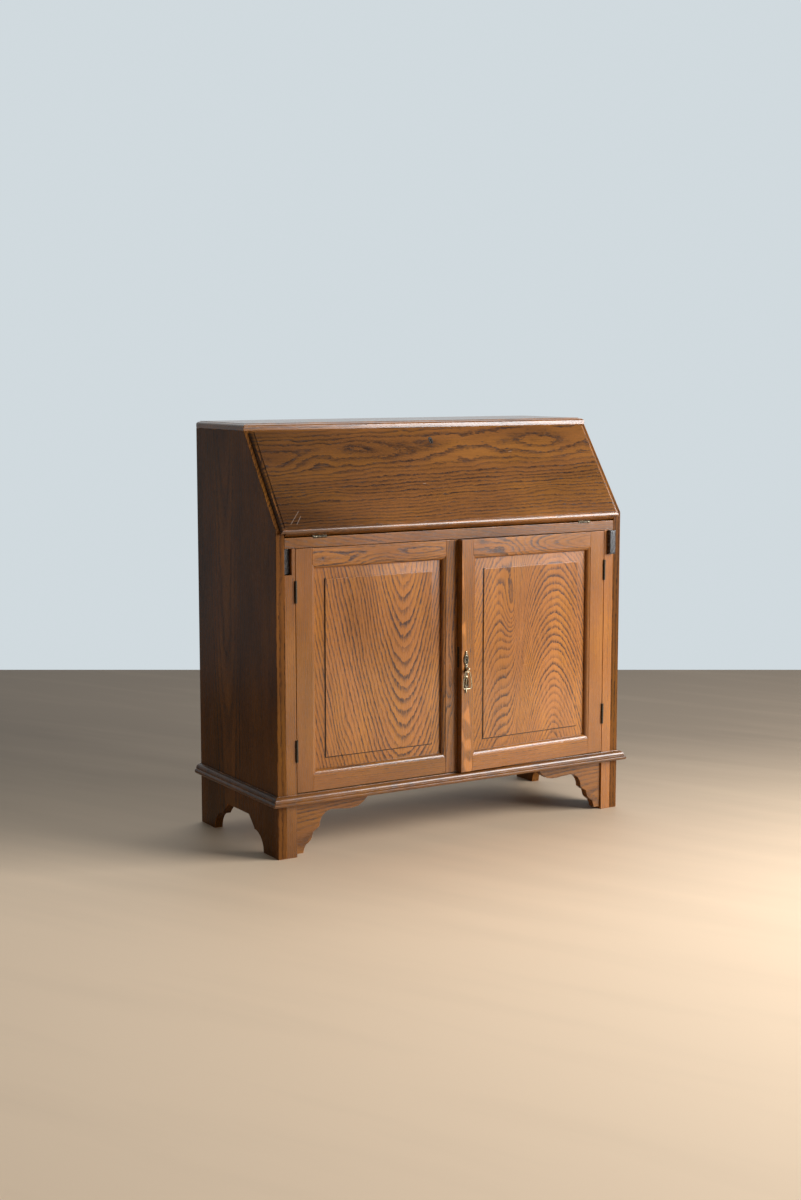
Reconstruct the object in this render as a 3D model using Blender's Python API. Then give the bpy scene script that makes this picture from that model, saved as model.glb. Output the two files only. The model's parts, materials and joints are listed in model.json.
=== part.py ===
"""Slant-front oak writing desk over a two-door cupboard.

Metres, +Z up, +X to the right as seen from the front, -Y towards the viewer. Every shape is drawn
with Y = 0 on the front plane of the case, and one empty then carries the whole desk so that the
origin lies under its middle.
"""

import math

import bmesh
import bpy
from mathutils import Matrix, Vector

# Case
WIDTH = 0.960
DEPTH = 0.408
HEIGHT = 0.9775
SIDE_THICKNESS = 0.021
TOP_THICKNESS = 0.0165
TOP_SETBACK = 0.153  # from the case front back to the top board's front edge
WRITING_HEIGHT = 0.7285  # upper face of the writing bed and of the open fall
SLOPE_LIFT = 0.0195  # the sides' slope starts this far above the writing bed
BACK_THICKNESS = 0.007
SHELF_THICKNESS = 0.015
SHELF_TOP = 0.435
SHELF_SETBACK = 0.045
GAP = 0.0003  # between pieces that meet

# Front frame
MOUTH_CHEEK = 0.0085  # wood between a loper's mouth and the doorway
STILE_THICKNESS = 0.021
RAIL_HEIGHT = 0.0235
RAIL_DEPTH = 0.060
BED_THICKNESS = 0.018

# Base
FOOT_HEIGHT = 0.124  # floor to the underside of the base moulding
MOULDING_HEIGHT = 0.0225
MOULDING_REACH = 0.0177
MOULDING_TOP_REACH = 0.0026
MOULDING_WAIST_REACH = 0.0132  # over the lip
MOULDING_LIP = 0.0088  # height of the lip
BOTTOM_THICKNESS = 0.020
BRACKET_THICKNESS = 0.020
BRACKET_SETBACK = 0.0048
BRACKET_LIFT = 0.006
FRONT_FOOT_RUN = 0.074  # length of each foot of a side panel along the floor
FOOT_ARCH_HEIGHT = 0.075

# Thumbnail moulding shared by the fall and the top board
THUMB_WIDTH = 0.011
THUMB_DROP = 0.0065
THUMB_STEP = 0.0012

# Fall
FALL_THICKNESS = 0.021
FALL_PROUD = 0.008  # outer face ahead of the sides' slope edges
LIP_COVER = 0.0115  # how much of each side's edge the lip covers
FALL_SIDE_GAP = 0.0015
FALL_END_GAP = 0.0027  # hinge axis to the fall's lower end
FALL_TOP_GAP = 0.0015  # fall's top corner to the top board's underside
STRIKE_GAP = 0.0012
STRIKE_DEPTH = 0.020

# Lopers
LOPER_WIDTH = 0.0179
LOPER_HEIGHT = 0.0589
LOPER_LENGTH = 0.300
LOPER_CLEARANCE = 0.0003
LOPER_OUT = 0.250  # reach ahead of the case when drawn
LEFT_LOPER_IN = 0.009
RIGHT_LOPER_OUT = 0.0107
GUIDE_INSET = 0.0005  # guide's wall behind the edge of the doorway
GUIDE_FLOOR = 0.016

# Doors
DOOR_THICKNESS = 0.022
DOOR_GAP = 0.0015  # at the hinge, and over the door
DOOR_FOOT_GAP = 0.002
MEETING_GAP = 0.002
HANGING_STILE = 0.042
MEETING_STILE = 0.032
TOP_RAIL = 0.037
BOTTOM_RAIL = 0.038
STICKING_WIDTH = 0.0095
STICKING_DROP = 0.009
STICKING_STEP = 0.0012
GROOVE_DEPTH = 0.008
GROOVE_FRONT = 0.0105
TONGUE_THICKNESS = 0.006
TONGUE_GRIP = 0.006
PANEL_BEVEL = 0.026
BEVEL_RISE = 0.003
SHOULDER_RISE = 0.002
SHOULDER_SLOPE = 0.0004
AJAR_DEGREES = 2.25  # how far the right door stands open at rest

# Hinges
HINGE_RADIUS = 0.003
PIN_RADIUS = 0.0012
PIN_CLEARANCE = 0.0003
LEAF_THICKNESS = 0.0012
DOOR_HINGE_LENGTH = 0.050
DOOR_HINGE_LEAF = 0.015
DOOR_HINGE_INSET = 0.0965  # door's end to the hinge's middle
DOOR_AXIS_PROUD = 0.0015
FALL_HINGE_LENGTH = 0.036
FALL_HINGE_LEAF = 0.022
FALL_HINGE_RADIUS = 0.0026
FALL_HINGE_INSET = 0.111  # case side to the hinge's middle

# Locks and bolts
BOLT_TRAVEL = 0.008
FALL_LOCK_SIZE = (0.056, 0.040, 0.0095)
FALL_BOLT_SIZE = (0.024, 0.020, 0.004)
FALL_BOLT_FROM_BACK = 0.006
FALL_KEY_DROP = 0.034  # the fall's top edge to its keyhole
ESCUTCHEON = (0.0056, 0.0092)  # half sizes across and along the fall
ESCUTCHEON_DEPTH = 0.0016
DOOR_LOCK_SIZE = (0.024, 0.050, 0.0112)
DOOR_BOLT_SIZE = (0.018, 0.012, 0.0035)
DOOR_BOLT_FROM_BACK = 0.0094
LOCK_HEIGHT = 0.4245  # of the door's keyhole over the floor
KEYHOLE_RADIUS = 0.0021
KEYHOLE_DROP = 0.0085
LEFT_BOLT_SIZE = (0.010, 0.005, 0.070)
LEFT_BOLT_TRAVEL = 0.010
BOLT_PLAY = 0.0006

# Handle, centred on the right door's meeting stile
HANDLE_FROM_EDGE = 0.0115
PLATE_TOP = 0.440
PLATE_BOTTOM = 0.3395
PLATE_THICKNESS = 0.0018
BALL_HEIGHT = 0.398
BALL_RADIUS = 0.0037
BALL_REACH = 0.0105
PIVOT_BELOW_BALL = 0.0062
PIVOT_REACH = 0.0062
LUG_WIDTH = 0.0044
LUG_REACH = 0.0024  # ahead of the pivot and below it
BAIL_RADIUS = 0.0014
BAIL_DROP = 0.0418
BAIL_HALF_WIDTH = 0.0125

# Interior fittings
INTERIOR_SETBACK = 0.0877  # from the top board's front edge back to the dividers
BOARD_THICKNESS = 0.008
DRAWER_BAY_HEIGHT = 0.064
LOWER_DIVIDER_X = 0.170
UPPER_DIVIDER_X = 0.153
DRAWER_CLEARANCE = 0.0015
DRAWER_REAR_GAP = 0.010
DRAWER_WALL = 0.006
DRAWER_FRONT = 0.010
KNOB_RADIUS = 0.007
KNOB_REACH = 0.014

# Derived places
CASE_TOP = HEIGHT - TOP_THICKNESS
SLOPE_START = WRITING_HEIGHT + SLOPE_LIFT
SLOPE = math.atan2(CASE_TOP - SLOPE_START, TOP_SETBACK)
RAIL_BOTTOM = WRITING_HEIGHT - RAIL_HEIGHT
BASE_TOP = FOOT_HEIGHT + MOULDING_HEIGHT
HALF = WIDTH / 2
INNER = HALF - SIDE_THICKNESS
MOUTH_WIDTH = LOPER_WIDTH + 2 * LOPER_CLEARANCE
STILE_WIDTH = MOUTH_WIDTH + MOUTH_CHEEK
OPENING = INNER - STILE_WIDTH  # half the doorway's width
FALL_BACK = FALL_THICKNESS - FALL_PROUD  # inner face behind the slope edges
AXIS_Y = (FALL_BACK - SLOPE_LIFT * math.cos(SLOPE)) / math.sin(SLOPE)
FALL_LENGTH = (
    CASE_TOP - FALL_TOP_GAP - FALL_THICKNESS * math.cos(SLOPE) - WRITING_HEIGHT
) / math.sin(SLOPE)
DOOR_BOTTOM = BASE_TOP + DOOR_FOOT_GAP
DOOR_TOP = RAIL_BOTTOM - DOOR_GAP
DOOR_AXIS_X = OPENING - DOOR_GAP / 2
DOOR_WIDTH = DOOR_AXIS_X - DOOR_GAP / 2 - MEETING_GAP / 2
DOOR_EDGE = DOOR_GAP / 2 + DOOR_WIDTH  # hinge axis to the meeting edge
INTERIOR_BACK = DEPTH - BACK_THICKNESS - GAP
INTERIOR_FRONT = TOP_SETBACK + INTERIOR_SETBACK
DRAWER_DEPTH = INTERIOR_BACK - INTERIOR_FRONT - DRAWER_REAR_GAP
HANDLE_X = DOOR_EDGE - HANDLE_FROM_EDGE
AJAR = math.radians(AJAR_DEGREES)
FRONT_REACH = HANDLE_X * math.sin(AJAR) + DOOR_AXIS_PROUD + (
    BALL_REACH - DOOR_AXIS_PROUD + BALL_RADIUS
) * math.cos(AJAR)

ARC_STEPS = 8
ROUND_SIDES = 16


# Materials


def material(name, colour, roughness, metallic=0.0):
    made = bpy.data.materials.new(name)
    made.use_nodes = True
    shader = made.node_tree.nodes["Principled BSDF"]
    shader.inputs["Base Color"].default_value = (*colour, 1.0)
    shader.inputs["Roughness"].default_value = roughness
    shader.inputs["Metallic"].default_value = metallic
    made.diffuse_color = (*colour, 1.0)
    return made


def make_materials():
    return {
        "oak": material("oak", (0.205, 0.090, 0.032), 0.38),
        "oak_dark": material("oak_dark", (0.110, 0.050, 0.026), 0.42),
        "inner_wood": material("inner_wood", (0.300, 0.165, 0.075), 0.60),
        "brass": material("brass", (0.420, 0.330, 0.170), 0.38, 0.9),
        "iron": material("iron", (0.100, 0.095, 0.090), 0.50, 0.8),
    }


# Modelling helpers


def finished(name, shape, finish, parent):
    """Turns a bmesh into a named object under its parent, with its faces pointing out."""
    bmesh.ops.recalc_face_normals(shape, faces=shape.faces)
    mesh = bpy.data.meshes.new(name)
    shape.to_mesh(mesh)
    shape.free()
    mesh.materials.append(finish)
    piece = bpy.data.objects.new(name, mesh)
    bpy.context.scene.collection.objects.link(piece)
    piece.parent = parent
    return piece


def block(name, low, high, finish, parent):
    shape = bmesh.new()
    bmesh.ops.create_cube(shape, size=1.0)
    low, high = Vector(low), Vector(high)
    size = [abs(high[i] - low[i]) for i in range(3)]
    bmesh.ops.transform(
        shape,
        matrix=Matrix.Translation((low + high) / 2) @ Matrix.Diagonal((*size, 1.0)),
        verts=shape.verts,
    )
    return finished(name, shape, finish, parent)


def loft(name, rings, finish, parent):
    """Joins closed rings of points, each with the same count, and caps the first and the last."""
    shape = bmesh.new()
    loops = [[shape.verts.new(point) for point in ring] for ring in rings]
    for lower, upper in zip(loops, loops[1:]):
        for i in range(len(lower)):
            j = (i + 1) % len(lower)
            shape.faces.new((lower[i], lower[j], upper[j], upper[i]))
    shape.faces.new(loops[0])
    shape.faces.new(loops[-1])
    return finished(name, shape, finish, parent)


def along_x(outline, start, end):
    """Two rings that run a (y, z) outline from start to end along X."""
    return [[(x, y, z) for y, z in outline] for x in (start, end)]


def along_y(outline, start, end):
    return [[(x, y, z) for x, z in outline] for y in (start, end)]


def turned(name, profile, centre, direction, finish, parent, sides=ROUND_SIDES):
    """A solid of revolution from (radius, distance) points, along direction from centre."""
    turn = Vector(direction).to_track_quat("Z", "Y").to_matrix().to_4x4()
    place = Matrix.Translation(centre) @ turn
    rings = []
    for radius, distance in profile:
        angles = [2 * math.pi * i / sides for i in range(sides)]
        ring = [(radius * math.cos(a), radius * math.sin(a), distance) for a in angles]
        rings.append([place @ Vector(point) for point in ring])
    return loft(name, rings, finish, parent)


def combine(piece, other, operation):
    """A live Boolean on piece. The other shape becomes a hidden helper."""
    other.hide_render = True
    other.display_type = "WIRE"
    boolean = piece.modifiers.new(operation.lower(), "BOOLEAN")
    boolean.operation = operation
    boolean.solver = "EXACT"
    boolean.object = other


def cut(piece, low, high):
    cutter = block(piece.name + "_cutter", low, high, piece.data.materials[0], piece.parent)
    combine(piece, cutter, "DIFFERENCE")


def arc(centre, radii, start, end, steps=ARC_STEPS):
    """Points on an ellipse from start to end, in degrees."""
    points = []
    for i in range(steps + 1):
        angle = math.radians(start + (end - start) * i / steps)
        x, y = radii[0] * math.cos(angle), radii[1] * math.sin(angle)
        points.append((centre[0] + x, centre[1] + y))
    return points


def empty(name, place, turn=(0.0, 0.0, 0.0), parent=None):
    holder = bpy.data.objects.new(name, None)
    bpy.context.scene.collection.objects.link(holder)
    holder.location = place
    holder.rotation_euler = turn
    holder.parent = parent
    return holder


def smooth(piece):
    piece.data.shade_smooth()
    piece.data.set_sharp_from_angle(angle=math.radians(40))


# Case


def foot_arch():
    """The cut-out between a side panel's feet, from its front foot to its back foot."""
    knee = (FRONT_FOOT_RUN + 0.047, FOOT_ARCH_HEIGHT * 0.61)
    crown = (FRONT_FOOT_RUN + 0.075, FOOT_ARCH_HEIGHT)
    run = knee[0] - FRONT_FOOT_RUN
    front = [(FRONT_FOOT_RUN, 0.0)]
    front += arc((knee[0], 0.0), (run, knee[1]), 165, 95)
    front += [knee, (knee[0] + 0.001, knee[1] + 0.003), crown]
    back = [(DEPTH - y, z) for y, z in reversed(front)]
    return front + back


def side_panel(name, outer, finish, parent):
    """outer is the panel's outer X; the panel runs inwards from it."""
    inner = outer - math.copysign(SIDE_THICKNESS, outer)
    outline = [(0.0, 0.0)] + foot_arch() + [(DEPTH, 0.0), (DEPTH, CASE_TOP)]
    outline += [(TOP_SETBACK, CASE_TOP), (0.0, SLOPE_START)]
    return loft(name, along_x(outline, outer, inner), finish, parent)


def thumb_rings(x_edge, front, back, base, top):
    """Rectangles of the thumbnail moulding round three sides: base is the underside, top the face."""
    levels = [(0.0, base), (0.0, top - THUMB_STEP - THUMB_DROP)]
    quarter = arc((THUMB_WIDTH, -THUMB_DROP), (THUMB_WIDTH, THUMB_DROP), 180, 90)
    levels += [(inset, top - THUMB_STEP + rise) for inset, rise in quarter[1:]]
    levels += [(THUMB_WIDTH + 0.0002, top)]
    rings = []
    for inset, level in levels:
        x, y = x_edge - inset, front + inset
        rings.append([(-x, y, level), (x, y, level), (x, back, level), (-x, back, level)])
    return rings


def strike_rail(finish, parent):
    """Bevelled rail under the top board: the fall closes against it and is locked into it."""
    forward = Vector((0.0, math.cos(SLOPE), math.sin(SLOPE)))
    outward = Vector((0.0, -math.sin(SLOPE), math.cos(SLOPE)))
    axis = Vector((0.0, AXIS_Y, WRITING_HEIGHT))
    reach = FALL_LENGTH + STRIKE_GAP
    front = axis + forward * reach + outward * (FALL_BACK - 0.0005)
    back = axis + forward * reach - outward * 0.004
    under = CASE_TOP - GAP
    rear = back.y + STRIKE_DEPTH
    outline = [(front.y, front.z), (back.y, back.z), (rear, back.z), (rear, under)]
    outline += [(TOP_SETBACK + 0.0005, under)]
    rail = loft("strike_rail", along_x(outline, -INNER + GAP, INNER - GAP), finish, parent)
    socket = empty("strike_socket_place", axis, (SLOPE, 0.0, 0.0), parent)
    wide, thick = FALL_BOLT_SIZE[0] / 2 + 0.0008, FALL_BOLT_SIZE[2] / 2 + 0.0006
    cutter = block(
        "strike_socket",
        (-wide, reach - 0.004, FALL_BOLT_FROM_BACK - thick),
        (wide, FALL_LENGTH + BOLT_TRAVEL + 0.0006, FALL_BOLT_FROM_BACK + thick),
        finish,
        socket,
    )
    combine(rail, cutter, "DIFFERENCE")


def front_stile(name, side, finish, parent):
    """side is -1 on the left and +1 on the right. The notch at the top is the loper's mouth."""
    wide = INNER - GAP
    mouth = INNER - MOUTH_WIDTH
    sill = RAIL_BOTTOM - LOPER_HEIGHT - 2 * LOPER_CLEARANCE
    top = RAIL_BOTTOM - GAP
    outline = [(OPENING, 0.0), (wide, 0.0), (wide, sill)]
    outline += [(mouth, sill), (mouth, top), (OPENING, top)]
    outline = [(side * x, z) for x, z in outline]
    return loft(name, along_y(outline, 0.0, STILE_THICKNESS), finish, parent)


def moulding_profile():
    """(outward, up) points of the base moulding, from its top inner corner round to its lower one."""
    shoulder, waist, lip = MOULDING_TOP_REACH, MOULDING_WAIST_REACH, MOULDING_LIP
    profile = [(GAP, MOULDING_HEIGHT), (shoulder, MOULDING_HEIGHT)]
    round_height = MOULDING_HEIGHT - lip - 0.0045
    profile += arc((shoulder, lip + 0.0035), (waist - shoulder, round_height), 90, 0)
    profile += [(waist, lip + 0.0012), (MOULDING_REACH - 0.0020, lip)]
    profile += [(MOULDING_REACH, lip - 0.0025), (MOULDING_REACH - 0.0003, 0.0022)]
    return profile + [(MOULDING_REACH - 0.0018, 0.0), (GAP, 0.0)]


def base_mouldings(finish, parent):
    profile = moulding_profile()
    front = [
        [(side * (HALF + out), -out, FOOT_HEIGHT + up) for out, up in profile] for side in (-1, 1)
    ]
    loft("base_moulding_front", front, finish, parent)
    for name, side in (("left", -1), ("right", 1)):
        start = [(side * (HALF + out), GAP * 1.5 - out, FOOT_HEIGHT + up) for out, up in profile]
        end = [(side * (HALF + out), DEPTH, FOOT_HEIGHT + up) for out, up in profile]
        loft("base_moulding_" + name, [start, end], finish, parent)


def bracket_outline():
    """(distance from the case side, height) of a front foot bracket, from its lower corner round."""
    post = SIDE_THICKNESS + STILE_WIDTH + GAP
    top = FOOT_HEIGHT - GAP
    toe = post + 0.018
    outline = [(post, BRACKET_LIFT), (toe, BRACKET_LIFT), (toe + 0.0015, 0.0135)]
    outline += [(toe + 0.006, 0.024), (toe + 0.0145, 0.030), (toe + 0.0205, 0.036)]
    outline += [(toe + 0.023, 0.043), (toe + 0.0255, 0.052), (toe + 0.036, 0.0590)]
    outline += arc((toe + 0.076, 0.064), (0.034, 0.0355), 180, 96, 6)
    outline += [(toe + 0.100, 0.0972), (toe + 0.115, 0.0956), (toe + 0.130, 0.0955)]
    outline += [(toe + 0.145, 0.0985), (toe + 0.158, 0.106), (toe + 0.168, 0.116), (toe + 0.172, top)]
    return outline + [(post, top)]


def front_brackets(finish, parent):
    for name, side in (("left", -1), ("right", 1)):
        outline = [(side * (HALF - distance), up) for distance, up in bracket_outline()]
        rings = along_y(outline, BRACKET_SETBACK, BRACKET_SETBACK + BRACKET_THICKNESS)
        loft("front_bracket_" + name, rings, finish, parent)


def loper_guide(name, side, finish, parent):
    """An L of wood behind the front stile, which the loper slides on and against."""
    outer = INNER - GAP
    wall = INNER - MOUTH_WIDTH
    inner = OPENING + GUIDE_INSET
    top = RAIL_BOTTOM - GAP
    floor = RAIL_BOTTOM - LOPER_HEIGHT - 2 * LOPER_CLEARANCE
    outline = [(outer, floor - GUIDE_FLOOR), (outer, floor), (wall, floor), (wall, top)]
    outline += [(inner, top), (inner, floor - GUIDE_FLOOR)]
    outline = [(side * x, z) for x, z in outline]
    loft(name, along_y(outline, STILE_THICKNESS + GAP, INTERIOR_BACK), finish, parent)


def build_case(finish, case):
    oak, inner_wood = finish["oak"], finish["inner_wood"]
    side_panel("side_left", -HALF, oak, case)
    side_panel("side_right", HALF, oak, case)
    rings = thumb_rings(HALF, TOP_SETBACK, DEPTH, CASE_TOP + GAP, HEIGHT)
    loft("top_board", rings, oak, case)
    strike_rail(oak, case)

    inner = INNER - GAP
    rail_high = (inner, RAIL_DEPTH, WRITING_HEIGHT)
    rail = block("front_rail", (-inner, 0.0, RAIL_BOTTOM), rail_high, oak, case)
    knuckle = FALL_HINGE_RADIUS + GAP
    above = WRITING_HEIGHT + 0.002
    for side in (-1, 1):
        low, high = fall_hinge_span(side)
        cut(rail, (low, -0.002, WRITING_HEIGHT - knuckle), (high, AXIS_Y + knuckle, above))
        leaf = AXIS_Y + FALL_HINGE_RADIUS + FALL_HINGE_LEAF + 2 * GAP
        cut(rail, (low, AXIS_Y, WRITING_HEIGHT - LEAF_THICKNESS - GAP), (high, leaf, above))
    door_bolt_x = -DOOR_AXIS_X + DOOR_EDGE - MEETING_STILE / 2
    half_bolt = LEFT_BOLT_SIZE[0] / 2 + BOLT_PLAY
    bolt_y = DOOR_THICKNESS + GAP
    bolt_back = bolt_y + LEFT_BOLT_SIZE[1] + BOLT_PLAY
    cut(
        rail,
        (door_bolt_x - half_bolt, bolt_y - BOLT_PLAY, RAIL_BOTTOM - 0.002),
        (door_bolt_x + half_bolt, bolt_back, RAIL_BOTTOM + LEFT_BOLT_TRAVEL + 0.001),
    )

    bed_low = (-inner, RAIL_DEPTH + GAP, WRITING_HEIGHT - BED_THICKNESS)
    block("writing_bed", bed_low, (inner, INTERIOR_BACK, WRITING_HEIGHT), inner_wood, case)
    bottom_low = (-inner, GAP, BASE_TOP - BOTTOM_THICKNESS)
    bottom = block("bottom_board", bottom_low, (inner, INTERIOR_BACK, BASE_TOP - 0.0005), inner_wood, case)
    for side in (-1, 1):
        post = (side * (OPENING - GAP), -0.002, 0.0)
        cut(bottom, post, (side * (inner + 0.01), STILE_THICKNESS + GAP, BASE_TOP + 0.01))
    back_low = (-inner, INTERIOR_BACK + GAP, FOOT_HEIGHT)
    block("back_panel", back_low, (inner, DEPTH, CASE_TOP), inner_wood, case)
    shelf_low = (-inner, SHELF_SETBACK, SHELF_TOP - SHELF_THICKNESS)
    block("cupboard_shelf", shelf_low, (inner, INTERIOR_BACK, SHELF_TOP), inner_wood, case)

    for name, side in (("left", -1), ("right", 1)):
        stile = front_stile("front_stile_" + name, side, oak, case)
        for height in hinge_heights():
            cut_hinge_recess(stile, side * DOOR_AXIS_X, side, height)
        loper_guide("loper_guide_" + name, side, inner_wood, case)
    base_mouldings(finish["oak_dark"], case)
    front_brackets(oak, case)


# Hinges


def fall_hinge_span(side):
    """Ends along X of the room that a fall hinge takes. side is -1 on the left and +1 on the right."""
    middle = side * (HALF - FALL_HINGE_INSET)
    half = FALL_HINGE_LENGTH / 2 + GAP
    return middle - half, middle + half


def hinge_heights():
    return (DOOR_BOTTOM + DOOR_HINGE_INSET, DOOR_TOP - DOOR_HINGE_INSET)


def cut_hinge_recess(piece, axis_x, side, height, axis_y=-DOOR_AXIS_PROUD):
    """A seat for a door hinge's leaf and a notch for its knuckles. side is the way in from the axis."""
    low, high = height - DOOR_HINGE_LENGTH / 2 - GAP, height + DOOR_HINGE_LENGTH / 2 + GAP
    deep = axis_x + side * (DOOR_GAP / 2 + LEAF_THICKNESS + GAP)
    leaf = axis_y + HINGE_RADIUS + DOOR_HINGE_LEAF + 2 * GAP
    cut(piece, (axis_x, axis_y, low), (deep, leaf, high))
    notch = axis_x + side * (HINGE_RADIUS + GAP)
    cut(piece, (axis_x, axis_y - 0.002, low), (notch, axis_y + HINGE_RADIUS + GAP, high))


def hinge_leaf(name, place, size, carries_pin, finish, parent):
    """One half of a butt hinge about the local Z axis, its leaf along local Y and its thickness along X.

    size holds the length, the leaf's width, the knuckle's radius and how far the leaf stands off the
    axis. The half that carries the pin has the two outer knuckles. The other has the middle one, bored
    for the pin.
    """
    length, leaf_width, radius, offset = size
    third = length / 3
    low = -length / 2
    if carries_pin:
        spans = [(low, low + third - GAP), (-low - third + GAP, -low)]
    else:
        spans = [(low + third + GAP, -low - third - GAP)]

    def put(point):
        return place @ Vector(point)

    def bar(label, x_range, y_range, z_range):
        (x0, x1), (y0, y1) = x_range, y_range
        outline = [(x0, y0), (x1, y0), (x1, y1), (x0, y1)]
        return loft(label, [[put((x, y, z)) for x, y in outline] for z in z_range], finish, parent)

    def rod(label, rod_radius, z_range):
        angles = [2 * math.pi * (i + 0.5) / ROUND_SIDES for i in range(ROUND_SIDES)]
        ring = [(rod_radius * math.cos(a), rod_radius * math.sin(a)) for a in angles]
        return loft(label, [[put((x, y, z)) for x, y in ring] for z in z_range], finish, parent)

    leaf_x = (offset, offset + LEAF_THICKNESS)
    leaf = bar(name, leaf_x, (radius + GAP, radius + GAP + leaf_width), (low, -low))
    for number, (start, end) in enumerate(spans):
        inset = 0.0001  # keeps the tab's faces off the leaf's and the knuckle's
        tab_x = (offset + inset, leaf_x[1] - inset)
        tab_z = (start + inset, end - inset)
        tab = bar(f"{name}_tab_{number}", tab_x, (0.0005, radius + 0.001), tab_z)
        combine(leaf, tab, "UNION")
        combine(leaf, rod(f"{name}_knuckle_{number}", radius, (start, end)), "UNION")
    if carries_pin:
        combine(leaf, rod(name + "_pin", PIN_RADIUS, (low + 0.001, -low - 0.001)), "UNION")
    else:
        bore = PIN_RADIUS + PIN_CLEARANCE
        combine(leaf, rod(name + "_bore", bore, (low, -low)), "DIFFERENCE")
    return leaf


# Fall


def build_fall(finish, case):
    oak, brass = finish["oak"], finish["brass"]
    fall = empty("fall_place", (0.0, AXIS_Y, WRITING_HEIGHT), (SLOPE, 0.0, 0.0), case)
    core = INNER - FALL_SIDE_GAP
    lip = INNER + LIP_COVER
    start, end = FALL_END_GAP, FALL_LENGTH

    def rectangle(level):
        low, high = start + GAP, end - GAP
        return [(-core, low, level), (core, low, level), (core, high, level), (-core, high, level)]

    seat = FALL_BACK + GAP
    rings = [rectangle(0.0), rectangle(seat)]
    rings += thumb_rings(lip, start, end, seat, FALL_THICKNESS)
    board = loft("fall_board", rings, oak, fall)

    wide, tall, thick = FALL_LOCK_SIZE
    cut(board, (-wide / 2 - GAP, end - tall - GAP, -0.002), (wide / 2 + GAP, end + 0.002, thick + GAP))
    key_u = end - FALL_KEY_DROP
    clear = FALL_THICKNESS + 0.002
    keyhole(board, key_u, "Z", (thick - 0.001, clear), fall)
    recess = FALL_THICKNESS - ESCUTCHEON_DEPTH
    seat_radii = (ESCUTCHEON[0] + GAP, ESCUTCHEON[1] + GAP)
    combine(board, oval("fall_escutcheon_seat", seat_radii, (recess, clear), key_u, fall, oak), "DIFFERENCE")
    ring_levels = (recess + GAP, FALL_THICKNESS + 0.0004)
    ring = oval("fall_escutcheon", ESCUTCHEON, ring_levels, key_u, fall, brass)
    keyhole(ring, key_u, "Z", (recess - 0.001, clear), fall)

    for name, side in (("left", -1), ("right", 1)):
        low, high = fall_hinge_span(side)
        middle = (low + high) / 2
        leaf_end = FALL_HINGE_RADIUS + FALL_HINGE_LEAF + 2 * GAP
        cut(board, (low, FALL_END_GAP - 0.002, -0.002), (high, leaf_end, LEAF_THICKNESS + GAP))
        size = (FALL_HINGE_LENGTH, FALL_HINGE_LEAF, FALL_HINGE_RADIUS, 0.0)
        # Columns: the leaf's thickness, its width and the hinge axis
        on_fall = Matrix(((0, 0, 1), (0, 1, 0), (1, 0, 0))).to_4x4()
        on_rail = Matrix(((0, 0, 1), (0, 1, 0), (-1, 0, 0))).to_4x4()
        shift = Matrix.Translation((middle, 0.0, 0.0))
        hinge_leaf("fall_hinge_" + name, shift @ on_fall, size, True, brass, fall)
        fixed = Matrix.Translation((middle, AXIS_Y, WRITING_HEIGHT)) @ on_rail
        hinge_leaf("rail_hinge_" + name, fixed, size, False, brass, case)

    lock = block("fall_lock", (-wide / 2, end - tall, 0.0), (wide / 2, end - GAP, thick), brass, fall)
    bolt_wide, bolt_long, bolt_thick = FALL_BOLT_SIZE
    low = (-bolt_wide / 2, end - bolt_long, FALL_BOLT_FROM_BACK - bolt_thick / 2)
    high = (bolt_wide / 2, end - GAP, FALL_BOLT_FROM_BACK + bolt_thick / 2)
    room_high = (high[0] + GAP, high[1] + 0.002, high[2] + GAP)
    cut(lock, (low[0] - GAP, low[1] - GAP, low[2] - GAP), room_high)
    keyhole(lock, key_u, "Z", (FALL_BOLT_FROM_BACK, thick + 0.002), fall)
    block("fall_lock_bolt", low, high, finish["iron"], fall)


def oval(name, radii, levels, middle, parent, finish):
    """A flat oval disc on the fall's face."""
    outline = arc((0.0, middle), radii, 0, 345, 23)
    rings = [[(x, u, level) for x, u in outline] for level in levels]
    return loft(name, rings, finish, parent)


def keyhole(piece, centre, axis, span, parent, across=0.0):
    """Cuts a keyhole: a round hole with a slot below it. axis is the way it goes through."""
    drop = KEYHOLE_DROP
    half_slot = KEYHOLE_RADIUS * 0.55
    outline = [(half_slot, -drop), (half_slot, -KEYHOLE_RADIUS * 0.8)]
    outline += arc((0.0, 0.0), (KEYHOLE_RADIUS, KEYHOLE_RADIUS), -45, 225, 9)
    outline += [(-half_slot, -KEYHOLE_RADIUS * 0.8), (-half_slot, -drop)]
    if axis == "Z":
        rings = [[(across + x, centre + up, level) for x, up in outline] for level in span]
    else:
        rings = [[(across + x, level, centre + up) for x, up in outline] for level in span]
    hole = loft(piece.name + "_keyhole", rings, piece.data.materials[0], parent)
    combine(piece, hole, "DIFFERENCE")


# Doors, drawn from the hinge axis towards the meeting edge along +X, and mirrored by side for the right door


def sticking(width):
    """(across, depth) points of a frame member's moulded edge and panel groove, past its square width."""
    edge = width + STICKING_WIDTH
    drop = STICKING_DROP - STICKING_STEP
    points = arc((width, STICKING_DROP), (STICKING_WIDTH, drop), -90, 0)
    back = GROOVE_FRONT + TONGUE_THICKNESS + 2 * GAP
    points += [(edge, GROOVE_FRONT), (edge - GROOVE_DEPTH, GROOVE_FRONT), (edge - GROOVE_DEPTH, back)]
    return points + [(edge, back), (edge, DOOR_THICKNESS)]


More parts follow.
